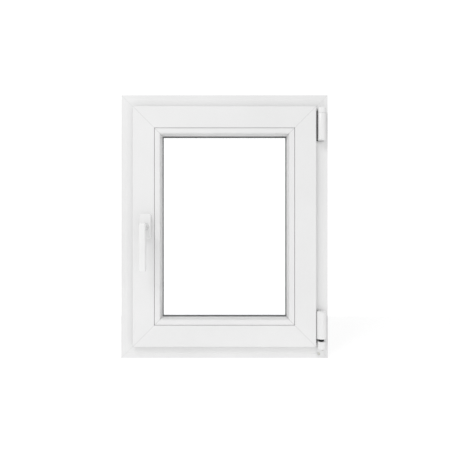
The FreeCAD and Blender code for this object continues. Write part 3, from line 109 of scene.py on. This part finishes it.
class WindowColours(bpy.types.PropertyGroup):
    """Base colours of the finishes and of the floor."""
    profile: colour("Profile", "Extruded white profile", (0.80, 0.80, 0.80))
    cover: colour("Covers", "Moulded hinge covers", (0.81, 0.81, 0.81))
    handle: colour("Handle", "Powder coated handle", (0.83, 0.83, 0.83))
    gasket: colour("Gaskets", "Grey gaskets", (0.14, 0.142, 0.145))
    zinc: colour("Zinc plate", "Bright zinc on the steel hardware", (0.62, 0.63, 0.64))
    # Near-black hinge steel: partly the hardware's own black plate, partly painted shade for the gaps beside
    # the hinge covers.
    hinge_black_gap_shade: colour("Black plate", "Black passivated steel in the hinges", (0.010, 0.010, 0.011))
    casting: colour("Castings", "Zinc castings", (0.46, 0.47, 0.48))
    spacer: colour("Spacer", "Aluminium spacer bar", (0.60, 0.61, 0.62))
    sealant: colour("Sealant", "Edge seal of the glass unit", (0.03, 0.03, 0.032))
    blocks: colour("Glazing blocks", "Moulded packers under the glass", (0.07, 0.13, 0.26))
    glass: colour("Glass", "Tint of the panes", (0.99, 0.998, 0.995))
    floor: colour("Floor", "Studio floor", (0.60, 0.60, 0.60))


def sizes():
    return bpy.context.scene.window_sizes


def colours():
    return bpy.context.scene.window_colours


def middle_of(node):
    """Middle of a node's box."""
    low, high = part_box(node)
    return (low + high) / 2


# ---------------------------------------------------------------- shader writing

class Wire:
    """A shader socket that takes part in Python arithmetic."""

    def __init__(self, writer, socket):
        self.writer = writer
        self.socket = socket

    def maths(self, operation, *inputs):
        return self.writer.node("ShaderNodeMath", {"operation": operation}, dict(enumerate(inputs)))

    def __add__(self, other):
        return self.maths("ADD", self, other)

    def __radd__(self, other):
        return self.maths("ADD", other, self)

    def __sub__(self, other):
        return self.maths("SUBTRACT", self, other)

    def __rsub__(self, other):
        return self.maths("SUBTRACT", other, self)

    def __mul__(self, other):
        return self.maths("MULTIPLY", self, other)

    def __rmul__(self, other):
        return self.maths("MULTIPLY", other, self)

    def __lt__(self, other):
        return self.maths("LESS_THAN", self, other)

    def __abs__(self):
        return self.maths("ABSOLUTE", self)


def socket_name(word):
    """Name of a shader's socket from a keyword, such as Specular IOR Level."""
    return word.replace("_", " ").title().replace("Ior", "IOR")


class Writer:
    """Adds nodes to one node tree, by type, settings and inputs."""

    def __init__(self, tree):
        self.tree = tree

    def node(self, kind, settings=None, inputs=None, output=0):
        made = self.tree.nodes.new(kind)
        for name, value in (settings or {}).items():
            setattr(made, name, value)
        for name, value in (inputs or {}).items():
            self.feed(made.inputs[name], value)
        return Wire(self, made.outputs[output])

    def feed(self, socket, value):
        if isinstance(value, Wire):
            self.tree.links.new(value.socket, socket)
        elif socket.type == "RGBA" and len(value) == 3:
            socket.default_value = (*value, 1.0)
        else:
            socket.default_value = value

    def fade(self, value, low, high, start=0.0, end=1.0):
        """Value mapped from low..high to start..end, held at both ends."""
        return self.node("ShaderNodeMapRange", {"clamp": True},
                         {"Value": value, "From Min": low, "From Max": high, "To Min": start, "To Max": end})


class Finish(Writer):
    """One material being written on its own shader."""

    def __init__(self, name, **shader_values):
        self.material = bpy.data.materials.new(name)
        self.material.use_nodes = True
        super().__init__(self.material.node_tree)
        self.shader = self.tree.nodes["Principled BSDF"]
        for word, value in shader_values.items():
            self.shader.inputs[socket_name(word)].default_value = value

    def place(self):
        """Object coordinates: every piece's object sits at the window's origin."""
        return self.node("ShaderNodeTexCoord", output="Object")

    def axes(self):
        """Object coordinates, one socket for each axis."""
        split = self.node("ShaderNodeSeparateXYZ", inputs={0: self.place()}).socket.node
        return [Wire(self, split.outputs[index]) for index in range(3)]

    def noise(self, scale, detail, stretch=None):
        """Noise at a scale, or stretched to a scale for each axis."""
        vector = self.place()
        if stretch:
            vector = self.node("ShaderNodeMapping", {}, {"Vector": vector, "Scale": stretch})
        return self.node("ShaderNodeTexNoise", {}, {"Vector": vector, "Scale": scale, "Detail": detail})

    def mix(self, amount, one, other):
        """Colour between one and other; the colour sockets are 6, 7 and output 2."""
        return self.node("ShaderNodeMix", {"data_type": "RGBA"}, {0: amount, 6: one, 7: other}, output=2)

    def bump(self, height, strength, distance, below=None):
        """Normal from a height, laid over the bump below it if there is one."""
        inputs = {"Height": height, "Strength": strength, "Distance": distance}
        if below:
            inputs["Normal"] = below
        return self.node("ShaderNodeBump", {}, inputs)

    def wear(self, **inputs):
        """Feeds the shader and gives the finished material."""
        for word, value in inputs.items():
            self.feed(self.shader.inputs[socket_name(word)], value)
        return self.material


def scaled(shade, factor):
    """A colour made lighter or darker, up to white."""
    return tuple(min(1.0, part * factor) for part in shade)


# ---------------------------------------------------------------- finishes

def ring_half_sizes(names):
    """Half width, half height and middle height of a mitred ring, from its four members."""
    boxes = [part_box(name) for name in names]
    low = Vector([min(box[0][axis] for box in boxes) for axis in range(3)])
    high = Vector([max(box[1][axis] for box in boxes) for axis in range(3)])
    half = (high - low) / 2
    return half.x, half.z, (low.z + high.z) / 2


def profile_finish(name, names, upright, weld_shade):
    """White extruded profile: faint die lines along its length and a cleaned weld line at the mitres."""
    shade = colours().profile
    half_width, half_height, middle = ring_half_sizes(names)
    finish = Finish(name, ior=1.53, specular_ior_level=0.45)
    x, y, z = finish.axes()
    off_mitre = abs((half_width - abs(x)) - (half_height - abs(z - middle)))
    width = sizes().weld_width
    weld = finish.fade(off_mitre, width * 0.35, width, 1.0, 0.0)
    halo = finish.fade(off_mitre, width, width * 5, 1.0, 0.0)
    along, across = 1.2, 700.0
    stretch = (across, across, along) if upright else (along, across, across)
    lines = finish.noise(1.0, 3.0, stretch)
    cloud = finish.noise(7.0, 5.0)
    dust = finish.noise(420.0, 3.0)
    tone = finish.mix(finish.fade(cloud, 0.35, 0.65), scaled(shade, 0.985), scaled(shade, 1.012))
    tone = finish.mix(finish.fade(dust, 0.66, 0.78, 0.0, 0.10), tone, scaled(shade, 0.80))
    tone = finish.mix(weld * weld_shade, tone, scaled(shade, 0.52))
    rough = 0.30 + cloud * 0.08 + lines * 0.05 + halo * 0.10
    low = finish.bump(lines, 0.10, 0.05 * MM)
    top = finish.bump(1.0 - weld, 0.8, 0.25 * MM, low)
    return finish.wear(base_color=tone, roughness=rough, normal=top)


def moulded_finish(name, shade, rough, grain, sheen=0.42):
    """Moulded or powder coated surface with a fine grain."""
    finish = Finish(name, ior=1.5, specular_ior_level=sheen)
    fine = finish.noise(grain, 4.0)
    cloud = finish.noise(16.0, 4.0)
    tone = finish.mix(finish.fade(cloud, 0.3, 0.7), scaled(shade, 0.975), scaled(shade, 1.015))
    return finish.wear(base_color=tone, roughness=rough + fine * 0.10,
                       normal=finish.bump(fine, 0.16, 0.06 * MM))


def gasket_finish():
    """Grey rubber with a pale bloom."""
    shade = colours().gasket
    finish = Finish("gasket_grey", ior=1.5, specular_ior_level=0.3)
    fine = finish.noise(900.0, 4.0)
    bloom = finish.noise(30.0, 5.0)
    tone = finish.mix(finish.fade(bloom, 0.4, 0.7), shade, scaled(shade, 1.25))
    return finish.wear(base_color=tone, roughness=0.62 + fine * 0.2,
                       normal=finish.bump(fine, 0.25, 0.08 * MM))


def zinc_finish(name, stretch):
    """Bright zinc plate on rolled steel, faintly brushed along its length, yellowish in places."""
    shade = colours().zinc
    passivated = (0.68, 0.66, 0.58)
    finish = Finish(name, metallic=0.92)
    brushed = finish.noise(1.0, 4.0, stretch)
    bloom = finish.noise(60.0, 5.0)
    tone = finish.mix(finish.fade(bloom, 0.35, 0.7), scaled(shade, 0.86), passivated)
    return finish.wear(base_color=tone, roughness=0.26 + brushed * 0.14 + bloom * 0.08,
                       normal=finish.bump(brushed, 0.15, 0.04 * MM))


def gap_shade_hardware_finish():
    """Black passivated steel with rubbed, brighter patches. It is made near-black and dull so that it also
    gives the painted shade in the gaps beside the hinge covers.
    """
    finish = Finish("hinge_steel_painted_gap_shade", metallic=0.0, specular_ior_level=0.2)
    grain = finish.noise(420.0, 4.0)
    rubbed = finish.noise(45.0, 5.0)
    shade = colours().hinge_black_gap_shade
    tone = finish.mix(finish.fade(rubbed, 0.62, 0.78), shade, scaled(shade, 3.0))
    return finish.wear(base_color=tone, roughness=0.42 + grain * 0.18,
                       normal=finish.bump(grain, 0.2, 0.05 * MM))


def casting_finish():
    """Zinc casting, matt and grainy."""
    finish = Finish("zinc_casting", metallic=0.8)
    grain = finish.noise(500.0, 5.0)
    bloom = finish.noise(40.0, 4.0)
    shade = colours().casting
    tone = finish.mix(finish.fade(bloom, 0.3, 0.7), scaled(shade, 0.85), scaled(shade, 1.15))
    return finish.wear(base_color=tone, roughness=0.42 + grain * 0.16,
                       normal=finish.bump(grain, 0.35, 0.1 * MM))


def spacer_finish():
    """Mill finish aluminium with a row of fine breathing slots."""
    finish = Finish("spacer_aluminium", metallic=0.85)
    x, y, z = finish.axes()
    pitch = 3.0 * MM
    half_length = pitch * 0.22
    half_width = 0.5 * MM
    row = middle_of("spacer_bar").y
    along = x + z
    step = along.maths("WRAP", along, pitch, 0.0)
    slot = (abs(step - pitch / 2) < half_length) * (abs(y - row) < half_width)
    slot_shade = (0.05, 0.05, 0.05)
    shade = colours().spacer
    grain = finish.noise(300.0, 3.0)
    tone = finish.mix(slot, finish.mix(grain, scaled(shade, 0.9), shade), slot_shade)
    return finish.wear(base_color=tone, roughness=0.34 + grain * 0.1,
                       normal=finish.bump(1.0 - slot, 0.6, 0.15 * MM))


def glass_finish():
    """Clear float glass with the slightest unevenness."""
    finish = Finish("float_glass", transmission_weight=1.0, roughness=0.0, ior=1.45)
    finish.feed(finish.shader.inputs["Base Color"], colours().glass)
    ripple = finish.noise(9.0, 1.0, (1.0, 1.0, 0.4))
    return finish.wear(normal=finish.bump(ripple, 0.02, 0.05 * MM))


def make_finishes():
    """The material of each node of the frame."""
    palette = colours()
    rings = (
        # ring, how dark its weld lines are, its two uprights and its two level members
        ("frame", 0.22, ("frame_jamb_left", "frame_jamb_right", "frame_sill", "frame_head")),
        ("sash", 0.55, ("sash_stile_left", "sash_stile_right", "sash_rail_bottom", "sash_rail_top")),
        ("bead", 0.75, tuple("glazing_bead_" + side for side in SIDES)),
    )
    finishes = {}
    for ring, weld_shade, names in rings:
        for word, members in (("upright", names[:2]), ("level", names[2:])):
            made = profile_finish("%s_white_%s" % (ring, word), names, word == "upright", weld_shade)
            finishes.update({member: made for member in members})
    zinc_level = zinc_finish("zinc_plate_level", (3.0, 500.0, 500.0))
    zinc_upright = zinc_finish("zinc_plate_upright", (500.0, 500.0, 3.0))
    for name in ("frame_reinforcements", "sash_reinforcements", "faceplate_left", "drive_rod_left",
                 "locking_cams_left", "top_hinge_pin", "corner_drive_bottom", "corner_drive_top",
                 "stay_slider_pin", "strikers"):
        finishes[name] = zinc_upright
    for name in ("faceplate_top", "faceplate_bottom", "drive_rod_top", "drive_rod_bottom",
                 "locking_cam_top", "locking_cams_bottom", "striker_screws", "hinge_screws_frame",
                 "hinge_screws_sash", "rosette_screws", "handle_spindle", "drive_pinion",
                 "pivot_cross_pin"):
        finishes[name] = zinc_level
    # Hardware that shows in the gaps beside the hinge covers. Its near-black finish is partly real black
    # plate and partly painted shade for those gaps.
    black = gap_shade_hardware_finish()
    for name in ("top_hinge_bracket", "stay_arm", "bottom_hinge_leaf", "bottom_hinge_pin", "pivot_cup"):
        finishes[name] = black
    casting = casting_finish()
    finishes.update({"gear_case": casting, "rosette_base": casting})
    cover = moulded_finish("cover_white", palette.cover, rough=0.26, grain=700.0)
    for name in ("bottom_hinge_cover", "top_hinge_cover", "stay_arm_cap", "bottom_hinge_cap",
                 "drain_caps"):
        finishes[name] = cover
    finishes["bottom_hinge_base"] = moulded_finish("base_white", palette.cover, rough=0.32, grain=500.0)
    coat = moulded_finish("handle_powder_coat", palette.handle, rough=0.20, grain=1100.0, sheen=0.5)
    finishes.update({"handle_lever": coat, "rosette_cover": coat})
    gasket = gasket_finish()
    for name in ("glazing_gasket_inner", "glazing_gasket_outer", "frame_gasket", "sash_gasket"):
        finishes[name] = gasket
    glass = glass_finish()
    finishes.update({"glass_inner": glass, "glass_outer": glass})
    finishes["spacer_bar"] = spacer_finish()
    finishes["edge_sealant"] = moulded_finish("edge_seal_black", palette.sealant, rough=0.5, grain=300.0)
    finishes["glazing_blocks"] = moulded_finish("packer_blue", palette.blocks, rough=0.45, grain=260.0)
    return finishes


# Material of each node, filled in by the finishes operator.
finish_of = {}


def dress(piece, node):
    """Gives a piece the finish that belongs to a node of the frame."""
    piece.data.materials.clear()
    piece.data.materials.append(finish_of[node])


# ---------------------------------------------------------------- modelling by hand

def fresh():
    """Object mode with nothing selected."""
    if bpy.context.mode != "OBJECT":
        bpy.ops.object.mode_set(mode="OBJECT")
    bpy.ops.object.select_all(action="DESELECT")


def take(piece):
    """One piece selected and active in object mode."""
    fresh()
    bpy.context.view_layer.objects.active = piece
    piece.select_set(True)


def put_in_mesh():
    """Puts the selected object's place, turn and size into its mesh."""
    bpy.ops.object.transform_apply(location=True, rotation=True, scale=True)


def settle(piece, name, smooth=30.0):
    """Names a piece, puts its place into its mesh and smooths its soft edges."""
    take(piece)
    put_in_mesh()
    bpy.ops.object.shade_smooth_by_angle(angle=math.radians(smooth))
    piece.name = name
    piece.data.name = name
    piece.select_set(False)


def add_block(low, high):
    """A box between two corners, as the active object with its size in its mesh."""
    fresh()
    low, high = Vector(low), Vector(high)
    bpy.ops.mesh.primitive_cube_add(size=1, location=(low + high) / 2)
    piece = bpy.context.object
    piece.scale = high - low
    put_in_mesh()
    return piece


TURN_FROM_Z = {"Y": (-math.pi / 2, 0, 0), "Z": (0, 0, 0)}


def add_bar(axis, centre, radius, depth, sides):
    """A round bar along an axis, as the active object."""
    fresh()
    bpy.ops.mesh.primitive_cylinder_add(vertices=sides, radius=radius, depth=depth,
                                        location=centre, rotation=TURN_FROM_Z[axis])
    piece = bpy.context.object
    put_in_mesh()
    return piece


def pick_faces(piece, wanted):
    """Selects the faces that pass a test and leaves the piece in edit mode, face select."""
    bpy.context.view_layer.objects.active = piece
    bpy.ops.object.mode_set(mode="EDIT")
    bpy.ops.mesh.select_mode(type="FACE")
    bpy.ops.mesh.select_all(action="DESELECT")
    bpy.ops.object.mode_set(mode="OBJECT")
    for face in piece.data.polygons:
        face.select = wanted(face)
    bpy.ops.object.mode_set(mode="EDIT")


def pick_edges(piece, wanted):
    """Selects the edges whose two ends pass a test and leaves the piece in edit mode."""
    bpy.context.view_layer.objects.active = piece
    bpy.ops.object.mode_set(mode="EDIT")
    bpy.ops.mesh.select_mode(type="EDGE")
    bpy.ops.mesh.select_all(action="DESELECT")
    bpy.ops.object.mode_set(mode="OBJECT")
    spots = [vertex.co for vertex in piece.data.vertices]
    for edge in piece.data.edges:
        one, other = edge.vertices
        edge.select = wanted(spots[one], spots[other])
    bpy.ops.object.mode_set(mode="EDIT")


def soften(width, segments):
    """Rounds the selected edges."""
    bpy.ops.mesh.bevel(offset=width, offset_type="OFFSET", segments=segments, profile=0.5,
                       affect="EDGES", clamp_overlap=True)


def done():
    """Back to object mode."""
    bpy.ops.object.mode_set(mode="OBJECT")


def tidy_shell():
    """In edit mode: merges doubles, points every face outwards and goes back to object mode."""
    bpy.ops.mesh.select_all(action="SELECT")
    bpy.ops.mesh.remove_doubles(threshold=0.00001)
    bpy.ops.mesh.normals_make_consistent(inside=False)
    done()


def finish_modifier(piece, kind, name, **settings):
    """Adds a modifier with its settings and applies it."""
    take(piece)
    modifier = piece.modifiers.new(name, kind)
    for setting, value in settings.items():
        setattr(modifier, setting, value)
    bpy.ops.object.modifier_apply(modifier=name)


def cut_away(piece, spot, towards, close):
    """Cuts off what lies beyond a plane, and leaves the piece in edit mode."""
    bpy.context.view_layer.objects.active = piece
    bpy.ops.object.mode_set(mode="EDIT")
    bpy.ops.mesh.select_all(action="SELECT")
    bpy.ops.mesh.bisect(plane_co=spot, plane_no=towards, clear_outer=True, use_fill=close)


def give_wall(piece, wall):
    """Thickens a shell inwards."""
    finish_modifier(piece, "SOLIDIFY", "Wall", thickness=wall, offset=-1.0, use_even_offset=True)


def round_all(piece, width, segments, angle):
    """Rounds every edge that is sharper than an angle in degrees."""
    finish_modifier(piece, "BEVEL", "Rounding", width=width, segments=segments, limit_method="ANGLE",
                    angle_limit=math.radians(angle), harden_normals=False)


def combine(piece, tool, operation):
    """Joins or cuts a piece with a tool, which is used up."""
    finish_modifier(piece, "BOOLEAN", "Combine", object=tool, operation=operation, solver="EXACT")
    bpy.data.objects.remove(tool)


def stand_for(piece, node, body):
    """The piece takes the place of a node, with its finish, body and material slot."""
    dress(piece, node)
    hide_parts(node)
    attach(piece, body)


def near(one, other):
    """True for two levels that are the same but for rounding."""
    return abs(one - other) < 0.02 * MM


# ---------------------------------------------------------------- handle

class WINDOW_OT_rosette(bpy.types.Operator):
    """Rosette cover: a shell with soft corners and a hole for the lever's neck"""
    bl_idname = "window.rosette"
    bl_label = "Rosette"

    def execute(self, context):
        low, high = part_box("rosette_cover")
        plate = add_block(low, high)
        pick_edges(plate, lambda one, other: near(one.x, other.x) and near(one.z, other.z))
        soften(sizes().plate_corner, segments=8)
        done()
        pick_edges(plate, lambda one, other: near(one.y, low.y) and near(other.y, low.y))
        soften(sizes().plate_rim, segments=6)
        done()
        pick_faces(plate, lambda face: near(face.center.y, high.y) and face.normal.y > 0.9)
        bpy.ops.mesh.delete(type="FACE")
        tidy_shell()
        give_wall(plate, sizes().plate_wall)
        axis = middle_of("handle_spindle")
        hole_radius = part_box("handle_lever")[1].z - axis.z + sizes().plate_gap
        drill_depth = 12 * MM
        drill = add_bar("Y", (axis.x, low.y, axis.z), hole_radius, drill_depth, sides=96)
        combine(plate, drill, "DIFFERENCE")
        settle(plate, "rosette_plate")
        stand_for(plate, "rosette_cover", "sash")
        return {"FINISHED"}


class WINDOW_OT_lever(bpy.types.Operator):
    """Lever: a tapered grip bent from the neck, drawn from one block by extrusion"""
    bl_idname = "window.lever"
    bl_label = "Lever"

    # Share of the drop from shoulder to tip, forward lean in millimetres, then the scale of the
    # section's depth and width against the section before it.
    STATIONS = ((0.45, -0.9, 0.86, 1.0), (0.9, -0.4, 0.86, 1.0), (1.0, 0.5, 0.93, 0.94))
    # Length of the neck inside the grip.
    NECK_SINK = 4 * MM

    def execute(self, context):
        low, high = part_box("handle_lever")
        spindle_low, spindle_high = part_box("handle_spindle")
        axis = middle_of("handle_spindle")
        neck_radius = high.z - axis.z
        back = spindle_low.y
        shoulder = axis.z - 2 * neck_radius
        grip = add_block((low.x, low.y, shoulder), (high.x, back, high.z))
        drop = shoulder - low.z
        reached = 0.0
        bottom = shoulder
        for share, lean, slim, narrow in self.STATIONS:
            pick_faces(grip, lambda face: near(face.center.z, bottom) and face.normal.z < -0.5)
            step = (share - reached) * drop
            bpy.ops.mesh.extrude_region_move(TRANSFORM_OT_translate={"value": (0, lean * MM, -step)})
            bpy.ops.transform.resize(value=(narrow, slim, 1.0))
            done()
            reached = share
            bottom = min(vertex.co.z for vertex in grip.data.vertices)
        round_all(grip, sizes().lever_round, segments=6, angle=30.0)
        neck = add_bar("Y", (axis.x, (back + high.y) / 2 - self.NECK_SINK / 2, axis.z), neck_radius,
                       high.y - back + self.NECK_SINK, sides=96)
        combine(grip, neck, "UNION")
        socket_half = (spindle_high.x - spindle_low.x) / 2
        socket = add_block((axis.x - socket_half, back, axis.z - socket_half),
                           (axis.x + socket_half, high.y + MM, axis.z + socket_half))
        combine(grip, socket, "DIFFERENCE")
        finish_modifier(grip, "WELD", "Seams", merge_threshold=0.01 * MM)
        settle(grip, "lever", smooth=34.0)
        finish_modifier(grip, "WEIGHTED_NORMAL", "Even shading", keep_sharp=True, weight=90)
        stand_for(grip, "handle_lever", "handle")
        return {"FINISHED"}


# ---------------------------------------------------------------- hinge covers

COVERS = (
    # node, body, closed end, name
    ("top_hinge_cover", "frame", "bottom", "upper_hinge_sleeve"),
    ("stay_arm_cap", "stay", "top", "upper_hinge_cap"),
    ("bottom_hinge_cover", "sash", "top", "lower_hinge_sleeve"),
)


class WINDOW_OT_hinge_covers(bpy.types.Operator):
    """Hinge covers: moulded sleeves with a domed closed end, open at the back and the other end"""
    bl_idname = "window.hinge_covers"
    bl_label = "Hinge covers"

    def execute(self, context):
        axis = middle_of("top_hinge_pin")
        for node, body, closed, name in COVERS:
            low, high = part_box(node)
            radius = axis.y - low.y
            sleeve = add_bar("Z", (axis.x, axis.y, middle_of(node).z), radius, high.z - low.z, sides=72)
            shut = high.z if closed == "top" else low.z
            open_end = low.z if closed == "top" else high.z
            pick_edges(sleeve, lambda one, other: near(one.z, shut) and near(other.z, shut))
            soften(sizes().cover_dome, segments=8)
            done()
            flat_at_the_side = low.x > axis.x - radius + MM
            if flat_at_the_side:
                cut_away(sleeve, low, (-1, 0, 0), close=True)
            pick_faces(sleeve, lambda face: near(face.center.z, open_end) and abs(face.normal.z) > 0.9)
            bpy.ops.mesh.delete(type="FACE")
            cut_away(sleeve, high, (0, 1, 0), close=False)
            tidy_shell()
            give_wall(sleeve, sizes().cover_wall)
            round_all(sleeve, sizes().rim_round, segments=2, angle=60.0)
            settle(sleeve, name)
            stand_for(sleeve, node, body)
        return {"FINISHED"}


class WINDOW_OT_pivot_cap(bpy.types.Operator):
    """Cap on the lower pivot's base: a short shell, open at the back and below, with a mouth on top"""
    bl_idname = "window.pivot_cap"
    bl_label = "Pivot cap"

    def execute(self, context):
        low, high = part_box("bottom_hinge_cap")
        cup_low, cup_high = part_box("pivot_cup")
        axis = middle_of("bottom_hinge_pin")
        radius = (high.x - low.x) / 2
        cap = add_bar("Z", (axis.x, axis.y, (low.z + high.z) / 2), radius, high.z - low.z, sides=72)
        pick_edges(cap, lambda one, other: near(one.z, high.z) and near(other.z, high.z))
        soften(sizes().cap_round, segments=5)
        done()
        pick_faces(cap, lambda face: near(face.center.z, low.z) and abs(face.normal.z) > 0.9)
        bpy.ops.mesh.delete(type="FACE")
        cut_away(cap, high, (0, 1, 0), close=False)
        tidy_shell()
        give_wall(cap, sizes().cap_wall)
        mouth_radius = (cup_high.x - cup_low.x) / 2 + sizes().cap_gap
        mouth_depth = 8 * MM
        mouth = add_bar("Z", (axis.x, axis.y, high.z), mouth_radius, mouth_depth, sides=72)
        combine(cap, mouth, "DIFFERENCE")
        settle(cap, "pivot_base_cap")
        stand_for(cap, "bottom_hinge_cap", "frame")
        return {"FINISHED"}


# ---------------------------------------------------------------- gaskets and hoods

SEALS = (
    # node, the left member that it shows beyond (None: a plain strip), body, name
    ("glazing_gasket_inner", "glazing_bead_left", "sash", "inner_glass_seal"),
    ("glazing_gasket_outer", "sash_stile_left", "sash", "outer_glass_seal"),
    ("frame_gasket", None, "frame", "frame_seal"),
)


def seal_width(low, beside):
    """Width of a gasket's strip, from what it beds on."""
    if beside is None:
        return sizes().seal_strip
    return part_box(beside)[1].x - low.x + sizes().seal_show


def is_nose(one, other, low, high, width):
    """True for the edges round a ring's inner opening."""
    slack = width * 0.2
    for spot in (one, other):
        inside_x = low.x + width - slack < spot.x < high.x - width + slack
        inside_z = low.z + width - slack < spot.z < high.z - width + slack
        if not (inside_x and inside_z):
            return False
    return near(one.y, other.y)


class WINDOW_OT_seals(bpy.types.Operator):
    """Gaskets: mitred rings with a rounded nose"""
    bl_idname = "window.seals"
    bl_label = "Gaskets"

    def execute(self, context):
        for node, beside, body, name in SEALS:
            low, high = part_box(node)
            width = seal_width(low, beside)
            seal = add_block(low, high)
            pick_faces(seal, lambda face: abs(face.normal.y) > 0.9)
            bpy.ops.mesh.inset(thickness=width, depth=0.0)
            bpy.ops.mesh.bridge_edge_loops()
            tidy_shell()
            pick_edges(seal, lambda one, other: is_nose(one, other, low, high, width))
            soften(sizes().seal_round, segments=4)
            done()
            settle(seal, name)
            stand_for(seal, node, body)
        return {"FINISHED"}


class WINDOW_OT_drain_hoods(bpy.types.Operator):
    """Drain hoods: small dished wind baffles over the sill's outdoor slots, hollow from below"""
    bl_idname = "window.drain_hoods"
    bl_label = "Drain hoods"

    def execute(self, context):
        low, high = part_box("drain_caps")
        width = sizes().hood_width
        hood = add_block(low, (low.x + width, high.y, high.z))
        pick_faces(hood, lambda face: face.normal.y > 0.9)
        bpy.ops.mesh.inset(thickness=sizes().hood_edge, depth=0.0)
        bpy.ops.transform.translate(value=(0, -sizes().hood_dish, 0))
        done()
        pick_faces(hood, lambda face: face.normal.z < -0.9)
        bpy.ops.mesh.inset(thickness=sizes().hood_wall, depth=0.0)
        bpy.ops.transform.translate(value=(0, 0, sizes().hood_hollow))
        done()
        round_all(hood, sizes().hood_round, segments=3, angle=40.0)
        take(hood)
        bpy.ops.object.duplicate(linked=False)
        twin = bpy.context.object
        twin.location.x = high.x - width - low.x
        put_in_mesh()
        hood.select_set(True)
        bpy.context.view_layer.objects.active = hood
        bpy.ops.object.join()
        settle(hood, "drain_hoods")
        stand_for(hood, "drain_caps", "frame")
        return {"FINISHED"}


# ---------------------------------------------------------------- finishes on the frame's own nodes

class WINDOW_OT_finishes(bpy.types.Operator):
    """Writes the finishes and gives each node of the frame its own"""
    bl_idname = "window.finishes"
    bl_label = "Finishes"

    def execute(self, context):
        finish_of.update(make_finishes())
        for node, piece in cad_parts.items():
            dress(piece, node)
        return {"FINISHED"}


# ---------------------------------------------------------------- stage

LAMPS = (
    # name, place, side, power
    ("key_light", (-1.05, -1.6, 2.25), 1.2, 21.0),
    ("fill_light", (1.5, -2.0, 0.9), 1.8, 4.5),
)
WHITE = (1.0, 1.0, 1.0)
FLOOR_SIZE = (5.0, 2.0)
FLOOR_MIDDLE = (0.0, -0.45)
FLOOR_GAP = 0.1 * MM
# Strength of the surround: as light on the window, and as seen behind it and through its glass.
SURROUND_LIGHT = 0.68
SURROUND_SEEN = 1.3
# The camera's place: right of the middle, in front of the frame, and above the frame's underside.
CAMERA_SIDE = 1.3 * MM
CAMERA_AWAY = 1.25
CAMERA_HEIGHT = 0.354
CAMERA_LENS = 37.6


class WINDOW_OT_stage(bpy.types.Operator):
    """Pale floor, soft studio light and the camera in front of the window"""
    bl_idname = "window.stage"
    bl_label = "Stage"

    def execute(self, context):
        self.floor()
        for lamp in LAMPS:
            self.light(*lamp)
        self.world(context.scene)
        self.camera(context.scene)
        context.scene.view_settings.view_transform = "Standard"
        return {"FINISHED"}

    def floor(self):
        """Floor just below the window, which glows a little so that its far edge is lost."""
        underside = cad_box[0].z
        fresh()
        bpy.ops.mesh.primitive_plane_add(size=1, location=(*FLOOR_MIDDLE, underside - FLOOR_GAP))
        floor = bpy.context.object
        floor.scale = (*FLOOR_SIZE, 1.0)
        settle(floor, "studio_floor")
        finish = Finish("studio_floor", roughness=0.85, emission_strength=0.55)
        cloud = finish.noise(2.0, 2.0)
        tone = finish.mix(cloud, scaled(colours().floor, 0.99), colours().floor)
        finish.feed(finish.shader.inputs["Emission Color"], WHITE)
        floor.data.materials.append(finish.wear(base_color=tone))

    def light(self, name, place, side, power):
        """Square lamp aimed at the middle of the window."""
        aim = (Vector(cad_box[0]) + Vector(cad_box[1])) / 2
        fresh()
        bpy.ops.object.light_add(type="AREA", location=place)
        lamp = bpy.context.object
        lamp.name = name
        lamp.data.size = side
        lamp.data.energy = power
        lamp.rotation_euler = (aim - Vector(place)).to_track_quat("-Z", "Y").to_euler()

    def world(self, scene):
        """Even studio surround that reads as plain white behind the window and through its glass."""
        world = scene.world or bpy.data.worlds.new("Studio")
        scene.world = world
        world.use_nodes = True
        world.node_tree.nodes.clear()
        surround = Writer(world.node_tree)
        direct = surround.node("ShaderNodeLightPath", output="Is Camera Ray")
        through_glass = surround.node("ShaderNodeLightPath", output="Is Transmission Ray")
        seen = direct.maths("MAXIMUM", direct, through_glass)
        strength = surround.fade(seen, 0.0, 1.0, SURROUND_LIGHT, SURROUND_SEEN)
        backdrop = surround.node("ShaderNodeBackground", {}, {"Color": WHITE, "Strength": strength})
        out = world.node_tree.nodes.new("ShaderNodeOutputWorld")
        surround.feed(out.inputs["Surface"], backdrop)

    def camera(self, scene):
        fresh()
        frame_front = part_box("frame_head")[0].y
        bpy.ops.object.camera_add(location=(CAMERA_SIDE, frame_front - CAMERA_AWAY, CAMERA_HEIGHT),
                                  rotation=(math.pi / 2, 0, 0))
        camera = bpy.context.object
        camera.name = "view_camera"
        camera.data.lens = CAMERA_LENS
        camera.data.sensor_width = 36.0
        scene.camera = camera


# ---------------------------------------------------------------- panel and run

STEPS = ("finishes", "rosette", "lever", "hinge_covers", "pivot_cap", "seals", "drain_hoods", "stage")


class WINDOW_PT_panel(bpy.types.Panel):
    """Sizes, colours and steps of the window"""
    bl_idname = "WINDOW_PT_panel"
    bl_label = "Tilt and turn window"
    bl_space_type = "VIEW_3D"
    bl_region_type = "UI"
    bl_category = "Window"

    def draw(self, context):
        layout = self.layout
        for group in (sizes(), colours()):
            for name in group.__annotations__:
                layout.prop(group, name)
        for step in STEPS:
            layout.operator("window." + step)


CLASSES = (WindowSizes, WindowColours, WINDOW_OT_finishes, WINDOW_OT_rosette, WINDOW_OT_lever,
           WINDOW_OT_hinge_covers, WINDOW_OT_pivot_cap, WINDOW_OT_seals, WINDOW_OT_drain_hoods,
           WINDOW_OT_stage, WINDOW_PT_panel)


def register():
    for made in CLASSES:
        bpy.utils.register_class(made)
    bpy.types.Scene.window_sizes = PointerProperty(type=WindowSizes)
    bpy.types.Scene.window_colours = PointerProperty(type=WindowColours)


def unregister():
    del bpy.types.Scene.window_colours
    del bpy.types.Scene.window_sizes
    for made in reversed(CLASSES):
        bpy.utils.unregister_class(made)


def main():
    register()
    for step in STEPS:
        getattr(bpy.ops.window, step)()


if __name__ == "__main__":
    main()
